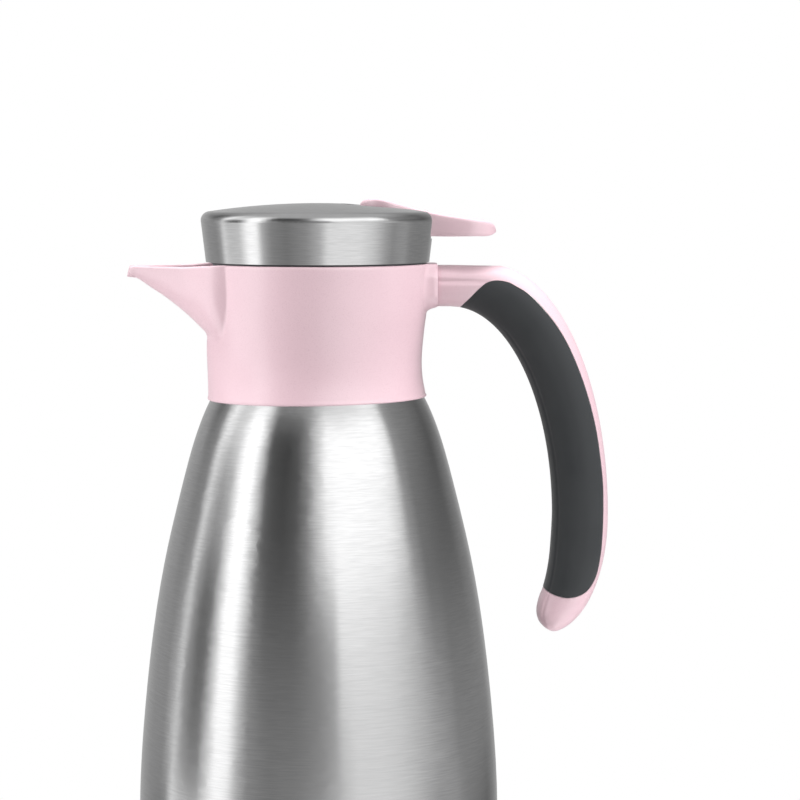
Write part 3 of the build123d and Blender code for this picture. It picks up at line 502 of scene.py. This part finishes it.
def make_collar():
    """The pink collar: one closed shell, with the channel of the spout and the bore for the neck."""
    angles = collar_angles()
    heights = np.concatenate([
        np.arange(203.6, 224, 1.0), np.arange(224, 246, 0.45), np.arange(246, 249.2, 0.25)])
    outside = collar_outside(angles, heights)
    foot = COLLAR_FOOT + COLLAR_FOOT_RISE * (1 - np.cos(angles)) / 2
    first = outside[0] + 0.25
    rings = []
    for inset, rise in ((0.45, 0.0), (0.1, 0.15), (0.0, 0.5)):
        rings.append(ring_at(angles, first - inset, foot + rise))
    rings += [ring_at(angles, outside[row], heights[row]) for row in range(len(heights))]
    rim_out = collar_outside(angles, np.array([RIM_SECTION]))[0]
    rim_in = collar_inside(angles, np.array([RIM_SECTION]))[0]
    # The rim drops to the spout's lower top edge, but not at the handle's stub
    beyond = np.where(np.cos(angles) < STUB_SECTOR, 0.0, np.clip((rim_out - 41.0) / 10.0, 0, 1))
    rim = COLLAR_RIM - (COLLAR_RIM - SPOUT_TOP) * smooth_step(beyond)
    wall = rim_out - rim_in
    round_out = np.minimum(RIM_ROUND, wall * 0.4)
    round_in = round_out * 0.6
    for lean in np.radians((0, 45, 90)):
        shrink = 1 - math.cos(lean)
        rings.append(ring_at(angles, rim_out - round_out * shrink, rim - round_out * (1 - math.sin(lean))))
    for lean in np.radians((90, 45, 0)):
        shrink = 1 - math.cos(lean)
        rings.append(ring_at(angles, rim_in + round_in * shrink, rim - round_in * (1 - math.sin(lean))))
    inner_heights = np.concatenate([np.arange(249.0, 236.4, -0.45), [236.3]])
    inside = collar_inside(angles, inner_heights)
    rings += [ring_at(angles, inside[row], inner_heights[row]) for row in range(len(inner_heights))]
    around = np.ones_like(angles)
    for radius, height in NECK_BORE:
        rings.append(ring_at(angles, radius * around, height * around))
    rings.append(ring_at(angles, BORE_FOOT * around, foot + 0.3))
    return skin_rings("collar_skin", rings, wrap_rings=True)


# ---------------------------------------------------------------- handle

# Side view: a level arm, then an outer and an inner quarter oval down to BEND_END, then the tail
HANDLE_TOP = 250.2
ARM_DEPTH = 14.8
BEND_END = 160.0
OUTER_REACH = 104.5
OUTER_START = 61.7
INNER_REACH = 84.5
INNER_START = 48.0
TAIL_CENTRE = 84.0
TAIL_DROP = 41.7
HANDLE_HALF_WIDTH = 11.5
ROOT_HALF_WIDTH = 9.8
TIP_DEPTH = 15.0            # the tip rounds off where the handle is less deep than this
SECTION_POINTS = 120
GROOVE_ABOVE = 2.0          # the arm's styling groove lies this far above its middle
GROOVE_END = 60.0
SEAM_INSET = 1.9            # the mould's parting line, from the handle's inner edge
TAIL_TURN = 88.0            # degrees that the outer line turns through below the bend
SECTION_SHAPE = 2.35        # exponent of the superellipse
GROOVE_DEPTH = 0.7
GROOVE_WIDTH = 0.8
GROOVE_FADE = 52.0          # the groove starts to fade here and is gone at GROOVE_END
SEAM_DEPTH = 0.45
SEAM_WIDTH = 0.35
CUT_HALF_WIDTH = 30.0       # wider than the handle
# Inner line of the handle from the bend down to the tip, as (x, z)
INNER_TAIL = [
    (84.5, 160.0), (84.1, 152.0), (83.3, 143.0), (81.4, 133.9), (79.8, 129.8), (78.9, 125.0), (79.6, 121.8),
    (82.0, 119.4), (84.6, 118.45),
]


def handle_pairs():
    """Outer and inner points along the handle, from its root to its tip."""
    pairs = [((x, HANDLE_TOP), (x, HANDLE_TOP - ARM_DEPTH)) for x in (STUB_END + 0.1, 45.0, 47.5)]
    for angle in np.radians(np.concatenate([np.arange(5, 60, 2.5), np.arange(60, 90, 1.6)])):
        outer = (OUTER_START + (OUTER_REACH - OUTER_START) * math.sin(angle),
                 BEND_END + (HANDLE_TOP - BEND_END) * math.cos(angle))
        inner = (INNER_START + (INNER_REACH - INNER_START) * math.sin(angle),
                 BEND_END + (HANDLE_TOP - ARM_DEPTH - BEND_END) * math.cos(angle))
        pairs.append((outer, inner))
    inner_points = np.array(INNER_TAIL)
    lengths = np.concatenate([[0.0], np.cumsum(np.hypot(*np.diff(inner_points, axis=0).T))])
    inner_x = curve_through(np.column_stack([lengths, inner_points[:, 0]]))
    inner_z = curve_through(np.column_stack([lengths, inner_points[:, 1]]))
    for share in np.concatenate([np.arange(0.02, 0.9, 0.03), np.linspace(0.9, 1.0, 10)]):
        angle = math.radians(TAIL_TURN) * share
        outer = (TAIL_CENTRE + (OUTER_REACH - TAIL_CENTRE) * math.cos(angle),
                 BEND_END - TAIL_DROP * math.sin(angle))
        place = lengths[-1] * share
        pairs.append((outer, (float(inner_x(place)), float(inner_z(place)))))
    return pairs


def handle_section(outer, inner, half_width, groove, seam):
    """Closed section between an outer and an inner point: a superellipse with fine grooves."""
    outer = np.array([outer[0], 0.0, outer[1]])
    inner = np.array([inner[0], 0.0, inner[1]])
    middle = (outer + inner) / 2
    half_depth = (outer - inner) / 2
    reach = np.linalg.norm(half_depth)
    points = []
    for turn in np.linspace(0, 2 * math.pi, SECTION_POINTS, endpoint=False):
        power = 2 / SECTION_SHAPE
        along = math.copysign(abs(math.cos(turn)) ** power, math.cos(turn))
        side = math.copysign(abs(math.sin(turn)) ** power, math.sin(turn))
        width = half_width * side
        arm_groove = groove * math.exp(-((along * reach - GROOVE_ABOVE) / GROOVE_WIDTH) ** 2)
        seam_groove = seam * math.exp(-((along * reach + reach - SEAM_INSET) / SEAM_WIDTH) ** 2)
        width -= math.copysign(min(arm_groove + seam_groove, abs(width)), side)
        points.append(middle + half_depth * along + np.array([0.0, width, 0.0]))
    return np.array(points)


def handle_rings():
    """Rings of the whole handle, from its root to its rounded tip."""
    rings = []
    travelled = 0.0
    previous = None
    for outer, inner in handle_pairs():
        middle = ((outer[0] + inner[0]) / 2, (outer[1] + inner[1]) / 2)
        if previous:
            travelled += math.hypot(middle[0] - previous[0], middle[1] - previous[1])
        previous = middle
        widening = float(smooth_step(travelled / 45))
        half_width = ROOT_HALF_WIDTH + (HANDLE_HALF_WIDTH - ROOT_HALF_WIDTH) * widening
        depth = math.hypot(outer[0] - inner[0], outer[1] - inner[1])
        missing = max(1 - depth / TIP_DEPTH, 0.0) if middle[1] < BEND_END - 20 else 0.0
        half_width *= math.sqrt(1 - missing ** 2)
        faded = float(smooth_step((middle[0] - GROOVE_FADE) / (GROOVE_END - GROOVE_FADE)))
        groove = GROOVE_DEPTH * (1 - faded)
        seam = SEAM_DEPTH * float(smooth_step((travelled - 30) / 10)) * float(smooth_step((depth - 8) / 4))
        rings.append(handle_section(outer, inner, half_width, groove, seam))
    return rings


def grown(rings, amount):
    """The same rings, moved outwards in their own planes."""
    result = []
    for ring in rings:
        centre = ring.mean(axis=0)
        offset = ring - centre
        length = np.linalg.norm(offset, axis=1, keepdims=True)
        result.append(centre + offset * (1 + amount / np.maximum(length, 0.5)))
    return result


def prism(name, outline, half_width):
    """Closed prism across the handle from a side view outline of (x, z) points."""
    rings = [np.array([(x, side, z) for x, z in outline]) for side in (-half_width, half_width)]
    return skin_rings(name, rings)


def rounded_outline(corners, steps):
    """Closed smooth curve through side view points (Catmull-Rom), as a list of points."""
    count = len(corners)
    outline = []
    for index in range(count):
        near = [np.array(corners[(index + shift) % count], float) for shift in (-1, 0, 1, 2)]
        before, start, end, after = near
        for part in np.linspace(0, 1, steps, endpoint=False):
            outline.append(tuple(0.5 * (2 * start + (end - before) * part
                                        + (2 * before - 5 * start + 4 * end - after) * part ** 2
                                        + (3 * start - before - 3 * end + after) * part ** 3)))
    return outline


# Side view of the zone that the soft grip fills; its far side lies outside the handle
GRIP_ZONE = [
    (50.2, 233.6), (51.7, 236.0), (54.5, 238.9), (57.4, 241.9), (60.3, 244.2), (63.5, 245.0), (67.1, 244.6),
    (70.2, 243.3), (77.5, 238.3), (87.0, 226.4), (94.0, 211.5), (99.2, 194.0), (101.9, 176.0),
    (102.4, 164.9), (102.2, 155.2), (101.7, 147.6), (100.5, 140.4), (98.8, 136.2), (96.4, 133.4),
    (93.4, 131.9), (89.5, 131.3), (86.4, 131.8), (83.7, 132.6), (80.5, 134.2), (74.0, 138.5), (70.0, 150.0),
    (70.0, 180.0), (60.0, 210.0), (48.0, 226.0),
]
GRIP_PROUD = 0.12           # the grip stands out of the frame's surface by this much
GRIP_SEAM = 0.22
OUTLINE_STEPS = 6
FRAME_ROUND = 0.35
GRIP_ROUND = 0.45
SHARP_ANGLE = 50


def make_handle():
    """Pink frame and charcoal grip, split along one outline, with a fine seam between them."""
    rings = handle_rings()
    body = skin_rings("handle_frame_skin", rings)
    zone = rounded_outline(GRIP_ZONE, OUTLINE_STEPS)
    boolean(body, prism("zone_cut", zone, CUT_HALF_WIDTH), "DIFFERENCE")
    grip = skin_rings("handle_grip_skin", grown(rings, GRIP_PROUD))
    kept = rounded_outline(shrunk_zone(), OUTLINE_STEPS)
    boolean(grip, prism("zone_keep", kept, CUT_HALF_WIDTH), "INTERSECT")
    round_edges(body, FRAME_ROUND, 2, SHARP_ANGLE)
    round_edges(grip, GRIP_ROUND, 3, SHARP_ANGLE)
    return body, grip


def shrunk_zone():
    """The grip's zone, drawn in by the seam's width along its own normals."""
    zone = np.array(GRIP_ZONE)
    along = np.roll(zone, -1, axis=0) - np.roll(zone, 1, axis=0)
    along = along / np.linalg.norm(along, axis=1, keepdims=True)
    inward = np.column_stack([along[:, 1], -along[:, 0]])
    return [tuple(point) for point in zone + inward * GRIP_SEAM]


# ---------------------------------------------------------------- thumb lever

PIVOT_X = 31.0
PIVOT_Z = 262.4
LEVER_NOSE = 14.8
LEVER_TIP = 63.9
NOSE_CENTRE = 24.4
NOSE_RADIUS = 9.6
WAIST = 6.0
PADDLE_CENTRE = 53.5
PADDLE_HALF_WIDTH = 10.5
HUB_HALF_WIDTH = 6.7
HUB_RADIUS = 3.6
PIN_RADIUS = 1.55
FORK_TOP = 261.0
FORK_THICKNESS = 2.4
FORK_HALF_WIDTH = 4.2
FORK_REACH = -3.4
FORK_SLOT = 2.85
DISH_DEPTH = 0.9
PADDLE_BACK = 21.5          # the paddle's oval reaches back towards the cap by this much
WAIST_BLEND = 2.0
HOLLOW_CENTRE = 53.0        # hollow under the paddle: an oval, up to HOLLOW_TOP
HOLLOW_HALF_LENGTH = 9.2
HOLLOW_HALF_WIDTH = 8.1
HOLLOW_TOP = 264.2
EAR_ROOM_START = 26.1       # room beside the hub for the carrier's two ears
EAR_ROOM_END = 35.9
EAR_ROOM_TOP = 267.4
CUT_LOW = 250.0             # cutters start below the lever and end beside it
CUT_FAR = 20.0

# Side view of the lever: its top and its underside at a distance x
lever_crest = curve_through([
    (LEVER_NOSE, 270.9), (15.6, 272.6), (17.2, 273.6), (20.5, 274.1), (24, 273.7), (26.5, 273.0),
    (34.7, 270.7), (42.7, 268.9), (55.8, 266.8), (60.3, 266.1), (62.3, 265.2), (63.4, 264.1),
    (LEVER_TIP, 262.6)])
lever_under = curve_through([
    (LEVER_NOSE, 269.8), (18, 266.3), (22, 263.6), (27, 261.6), (36, 260.8), (56, 260.7), (62, 261.0),
    (LEVER_TIP, 262.0)])


def lever_half_width(x):
    """Half width of the lever's plan: a round nose, a waist at the cap's rim, an oval paddle."""
    nose = math.sqrt(max(NOSE_RADIUS ** 2 - (x - NOSE_CENTRE) ** 2, 0.0))
    part = (x - PADDLE_CENTRE) / (LEVER_TIP - PADDLE_CENTRE if x > PADDLE_CENTRE else PADDLE_BACK)
    paddle = PADDLE_HALF_WIDTH * math.sqrt(max(1 - part * part, 0.0)) if abs(part) < 1 else 0.0
    waist = WAIST if NOSE_CENTRE < x < PADDLE_CENTRE else 0.0
    return max(float(smooth_max(nose, max(paddle, waist), WAIST_BLEND)), 0.05)


def lever_section(x):
    """Closed section across the lever at x, with rounded edges and a shallow thumb dish."""
    width = lever_half_width(x)
    top = float(lever_crest(x))
    low = min(float(lever_under(x)), top - 0.1)
    depth = top - low
    corner = min(1.1, width * 0.45, depth * 0.4)
    dished = DISH_DEPTH * float(smooth_step((x - 22.5) / 3.0) * smooth_step((LEVER_TIP - 1.5 - x) / 10.0))
    points = []
    for side in np.linspace(1, -1, 25):
        reach = side * (width - corner)
        dish = dished * float(smooth_step((1 - abs(side)) / 0.55))
        points.append((x, reach, top - dish))
    for turn in np.radians((22, 45, 68, 90)):
        points.append((x, -(width - corner) - corner * math.sin(turn), top - corner * (1 - math.cos(turn))))
    for part in np.linspace(0.25, 1, 4):
        points.append((x, -width + 0.25 * part, top - corner - (depth - corner - 0.3) * part))
    for side in np.linspace(-1, 1, 13):
        points.append((x, side * (width - 0.5), low))
    for part in np.linspace(1, 0.25, 4):
        points.append((x, width - 0.25 * part, top - corner - (depth - corner - 0.3) * part))
    for turn in np.radians((90, 68, 45, 22)):
        points.append((x, (width - corner) + corner * math.sin(turn), top - corner * (1 - math.cos(turn))))
    return np.array(points)


def block(name, low, high):
    """Closed box between two corners in millimetres."""
    corners = [(x, y, z) for x in (low[0], high[0]) for y in (low[1], high[1]) for z in (low[2], high[2])]
    faces = [(0, 1, 3, 2), (4, 6, 7, 5), (0, 4, 5, 1), (2, 3, 7, 6), (0, 2, 6, 4), (1, 5, 7, 3)]
    piece = mesh_object(name, corners, faces)
    outward_normals(piece)
    return piece


def rod_across(name, x, z, radius, half_width, sides=48):
    """Closed round bar along Y."""
    turn = np.linspace(0, 2 * math.pi, sides, endpoint=False)
    rings = [np.column_stack([x + radius * np.cos(turn), np.full(sides, y), z + radius * np.sin(turn)])
             for y in (-half_width, half_width)]
    return skin_rings(name, rings)


def round_post(name, x, half_x, half_y, low, high, sides=64):
    """Closed upright post with an oval plan."""
    turn = np.linspace(0, 2 * math.pi, sides, endpoint=False)
    rings = [np.column_stack([x + half_x * np.cos(turn), half_y * np.sin(turn), np.full(sides, z)])
             for z in (low, high)]
    return skin_rings(name, rings)


def make_lever():
    """The thumb lever: dished paddle, hub on the pin, and a forked arm to the stem."""
    nose = LEVER_NOSE + NOSE_RADIUS * (1 - np.cos(np.radians(np.arange(4, 90, 8))))
    tip = PADDLE_CENTRE + (LEVER_TIP - PADDLE_CENTRE) * np.sin(np.radians(np.arange(2, 88, 5)))
    stations = np.concatenate([nose, np.arange(25, 53, 1.0), tip, [LEVER_TIP - 0.01]])
    paddle = skin_rings("thumb_lever_skin", [lever_section(float(x)) for x in stations])
    hollow = round_post("hollow", HOLLOW_CENTRE, HOLLOW_HALF_LENGTH, HOLLOW_HALF_WIDTH, CUT_LOW, HOLLOW_TOP)
    boolean(paddle, hollow, "DIFFERENCE")
    for side in (-1, 1):
        near, far = sorted((side * HUB_HALF_WIDTH, side * CUT_FAR))
        ear_room = block("ear_room", (EAR_ROOM_START, near, CUT_LOW), (EAR_ROOM_END, far, EAR_ROOM_TOP))
        boolean(paddle, ear_room, "DIFFERENCE")
    boolean(paddle, rod_across("hub", PIVOT_X, PIVOT_Z, HUB_RADIUS, HUB_HALF_WIDTH), "UNION")
    arm = block("arm", (FORK_REACH, -FORK_HALF_WIDTH, FORK_TOP - FORK_THICKNESS),
                (PIVOT_X, FORK_HALF_WIDTH, FORK_TOP))
    boolean(arm, round_post("stem_room", 0.0, FORK_SLOT, FORK_SLOT, 255.0, 264.0), "DIFFERENCE")
    boolean(arm, block("fork_mouth", (-12.0, -FORK_SLOT, 255.0), (0.0, FORK_SLOT, 264.0)), "DIFFERENCE")
    boolean(paddle, arm, "UNION")
    boolean(paddle, rod_across("pin_room", PIVOT_X, PIVOT_Z, PIN_RADIUS, 12.0), "DIFFERENCE")
    return paddle


# ---------------------------------------------------------------- put the pieces together

materials = {
    "brushed_steel": brushed_steel(),
    "inner_steel": drawn_steel(),
    "pink_plastic": moulded_plastic("pink_plastic", PINK, PINK_DEEP, 0.3, PINK_GLOSS),
    "soft_grip": soft_rubber("soft_grip", (0.028, 0.031, 0.034), (0.036, 0.039, 0.042), 2600.0),
    "dark_plastic": moulded_plastic("dark_plastic", (0.05, 0.05, 0.055), (0.042, 0.042, 0.046), 0.45),
    "pale_plastic": moulded_plastic("pale_plastic", (0.55, 0.55, 0.56), (0.52, 0.52, 0.53), 0.4),
    "silicone": silicone_rubber(),
    "foot_rubber": soft_rubber("foot_rubber", (0.035, 0.035, 0.04), (0.045, 0.045, 0.05), 1800.0),
    "small_metal": bright_metal(),
}


def dress(piece, slot_name):
    """Give a piece its slot's material, as its only material."""
    piece.data.materials.clear()
    piece.data.materials.append(materials[slot_name])


slot_of = {part["node"]: part["material_slot"] for part in frame["record"]["subparts"]}
for node_name, node in nodes.items():
    dress(node, slot_of[node_name])

collar = make_collar()
handle_body, grip = make_handle()
lever = make_lever()
for piece, node_name, body in ((collar, "collar", "jug"), (handle_body, "handle_frame", "jug"),
                               (grip, "handle_grip", "jug"), (lever, "thumb_lever", "lever")):
    dress(piece, slot_of[node_name])
    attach(piece, body)
    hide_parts(node_name)
    piece.visible_glossy = False


# ---------------------------------------------------------------- studio

CAMERA_PLACE_M = (0.0295, -0.990, 0.2833)
CAMERA_TARGET_M = (0.0295, 0.0, 0.2016)
LENS_MM = 124.2
JUG_MIDDLE_M = (0.0, 0.0, 0.2)
FLOOR_RADIUS = 245.0
FLOOR_THICKNESS = 12.0
FLOOR_SHADE = (0.86, 0.86, 0.86)
FLOOR_GLOW = 0.34           # lifts the floor to the white of the background
BANK_SIZE_M = (0.7, 1.4)
TOP_SIZE_M = (1.0, 1.0)
LEFT_POWER_W = 15.0
RIGHT_POWER_W = 14.5
TOP_POWER_W = 34.0


def studio_camera():
    """Camera a little above the cap's height, with everything in focus, and plain tones."""
    camera = bpy.data.objects.new("camera", bpy.data.cameras.new("camera"))
    bpy.context.scene.collection.objects.link(camera)
    camera.location = CAMERA_PLACE_M
    aim = Vector(CAMERA_TARGET_M) - Vector(CAMERA_PLACE_M)
    camera.rotation_euler = aim.to_track_quat("-Z", "Y").to_euler()
    camera.data.lens = LENS_MM
    camera.data.dof.use_dof = False
    bpy.context.scene.camera = camera
    bpy.context.scene.view_settings.view_transform = "Standard"


def studio_floor():
    """Pale, plain, round table under the jug, left out of the steel's reflections."""
    floor = round_post("studio_floor", 0.0, FLOOR_RADIUS, FLOOR_RADIUS, -FLOOR_THICKNESS, 0.0, 160)
    shade = Shade("floor", FLOOR_SHADE, 0.8)
    shade.surface.inputs["Emission Color"].default_value = (1.0, 1.0, 1.0, 1.0)
    shade.surface.inputs["Emission Strength"].default_value = FLOOR_GLOW
    floor.data.materials.append(shade.material)
    floor.visible_glossy = False


# Light panels that the steel mirrors, as (degrees from the camera's side towards the handle, brightness),
# for reflections that leave upwards, level, downwards and further downwards
PANELS_HIGH = [
    (-180, 0.4), (-149, 0.3), (-128, 0.12), (-114, 0.3), (-102, 1.3), (-90, 0.85), (-80, 1.0),
    (-71, 1.6), (-60, 1.6), (-53, 0.8), (-45, 0.08), (-28, 0.05), (-17, 0.1), (-8, 0.3), (1, 0.9),
    (10, 1.5), (62, 1.5), (73, 1.2), (80, 0.36), (92, 0.28), (135, 0.15), (180, 0.4),
]
PANELS_LEVEL = [
    (-180, 0.5), (-137, 0.38), (-124, 0.28), (-112, 0.28), (-104, 0.85), (-97, 0.35), (-89, 0.12),
    (-80, 0.12), (-74, 0.7), (-68, 1.5), (-59, 1.5), (-54, 1.0), (-47, 0.32), (-36, 0.15), (-15, 0.14),
    (2, 0.24), (12, 0.4), (17, 1.1), (36, 1.0), (55, 0.86), (75, 0.5), (90, 0.18), (130, 0.1),
    (150, 0.2), (180, 0.5),
]
PANELS_LOW = [
    (-180, 0.5), (-137, 0.33), (-120, 0.34), (-106, 0.72), (-98, 0.27), (-90, 0.15), (-83, 0.18),
    (-76, 0.7), (-69, 1.35), (-59, 1.3), (-52, 0.55), (-45, 0.35), (-30, 0.27), (0, 0.29), (15, 0.36),
    (27, 0.75), (45, 0.78), (70, 0.66), (90, 0.5), (105, 0.31), (150, 0.28), (180, 0.5),
]
PANELS_DOWN = [
    (-180, 0.5), (-144, 0.34), (-114, 0.2), (-107, 1.1), (-84, 1.0), (-74, 1.4), (-63, 1.3),
    (-57, 0.45), (-46, 0.27), (-30, 0.22), (-10, 0.34), (4, 0.6), (12, 1.05), (45, 1.0), (60, 0.8),
    (74, 0.4), (84, 0.22), (102, 0.4), (112, 0.25), (140, 0.12), (180, 0.5),
]
# Sine of the height angle at which each row of panels is centred
SIN_HIGH = 0.38
SIN_LEVEL = 0.13
SIN_LOW = -0.12
SIN_DOWN = -0.22
# The ceiling takes over from the high panels between these sines
CEILING = 0.5
SIN_CEILING_START = 0.55
SIN_CEILING_END = 0.85


def studio_world():
    """White for the camera; for everything else, upright panels round the room and a dimmer ceiling."""
    world = bpy.data.worlds.new("studio")
    bpy.context.scene.world = world
    world.use_nodes = True
    tree = world.node_tree
    tree.nodes.clear()
    direction = tree.nodes.new("ShaderNodeTexCoord").outputs["Generated"]
    split = tree.nodes.new("ShaderNodeSeparateXYZ")
    tree.links.new(direction, split.inputs[0])

    # Angle from -Y towards +X, as a share of a full turn from -180 to 180 degrees
    x, y, z = split.outputs
    angle = maths_node(tree, "ARCTAN2", x, maths_node(tree, "MULTIPLY", y, -1.0))
    share = maths_node(tree, "ADD", maths_node(tree, "DIVIDE", angle, 2 * math.pi), 0.5)

    def panel_ramp(panels):
        """Brightness that runs from panel to panel round the room."""
        ramp = tree.nodes.new("ShaderNodeValToRGB")
        stops = ramp.color_ramp.elements
        while len(stops) > 1:
            stops.remove(stops[-1])
        for index, (degrees, level) in enumerate(panels):
            place = (degrees + 180) / 360
            stop = stops[0] if index == 0 else stops.new(place)
            stop.position = place
            stop.color = (level, level, level, 1.0)
        tree.links.new(share, ramp.inputs["Fac"])
        return ramp.outputs["Color"]

    def blended(first, second, start, end):
        """First colour below the start height, second above the end height, as sines."""
        along = tree.nodes.new("ShaderNodeMapRange")
        along.inputs["From Min"].default_value = start
        along.inputs["From Max"].default_value = end
        tree.links.new(z, along.inputs["Value"])
        mix = tree.nodes.new("ShaderNodeMix")
        mix.data_type = "RGBA"
        tree.links.new(along.outputs["Result"], mix.inputs["Factor"])
        for colour, socket in ((first, mix.inputs["A"]), (second, mix.inputs["B"])):
            if isinstance(colour, float):
                socket.default_value = (colour, colour, colour, 1.0)
            else:
                tree.links.new(colour, socket)
        return mix.outputs["Result"]

    panels = blended(panel_ramp(PANELS_DOWN), panel_ramp(PANELS_LOW), SIN_DOWN, SIN_LOW)
    panels = blended(panels, panel_ramp(PANELS_LEVEL), SIN_LOW, SIN_LEVEL)
    panels = blended(panels, panel_ramp(PANELS_HIGH), SIN_LEVEL, SIN_HIGH)
    panels = blended(panels, CEILING, SIN_CEILING_START, SIN_CEILING_END)
    lit = tree.nodes.new("ShaderNodeBackground")
    tree.links.new(panels, lit.inputs["Color"])
    lit.inputs["Strength"].default_value = 1.0
    white = tree.nodes.new("ShaderNodeBackground")
    white.inputs["Color"].default_value = (1, 1, 1, 1)
    white.inputs["Strength"].default_value = 1.0
    ray = tree.nodes.new("ShaderNodeLightPath")
    mix = tree.nodes.new("ShaderNodeMixShader")
    tree.links.new(ray.outputs["Is Camera Ray"], mix.inputs["Fac"])
    tree.links.new(lit.outputs[0], mix.inputs[1])
    tree.links.new(white.outputs[0], mix.inputs[2])
    output = tree.nodes.new("ShaderNodeOutputWorld")
    tree.links.new(mix.outputs[0], output.inputs["Surface"])


def softbox(name, place_m, size_m, power):
    """Area light pointed at the jug, unseen in the steel."""
    data = bpy.data.lights.new(name, "AREA")
    data.shape = "RECTANGLE"
    data.size, data.size_y = size_m
    data.energy = power
    light = bpy.data.objects.new(name, data)
    light.location = place_m
    aim = Vector(JUG_MIDDLE_M) - Vector(place_m)
    light.rotation_euler = aim.to_track_quat("-Z", "Y").to_euler()
    light.visible_glossy = False
    bpy.context.scene.collection.objects.link(light)


studio_camera()
studio_floor()
studio_world()
softbox("left_bank", (-1.5, -0.05, 0.45), BANK_SIZE_M, LEFT_POWER_W)
softbox("right_bank", (1.5, -0.1, 0.6), BANK_SIZE_M, RIGHT_POWER_W)
softbox("top_key", (0.0, 0.05, 1.7), TOP_SIZE_M, TOP_POWER_W)
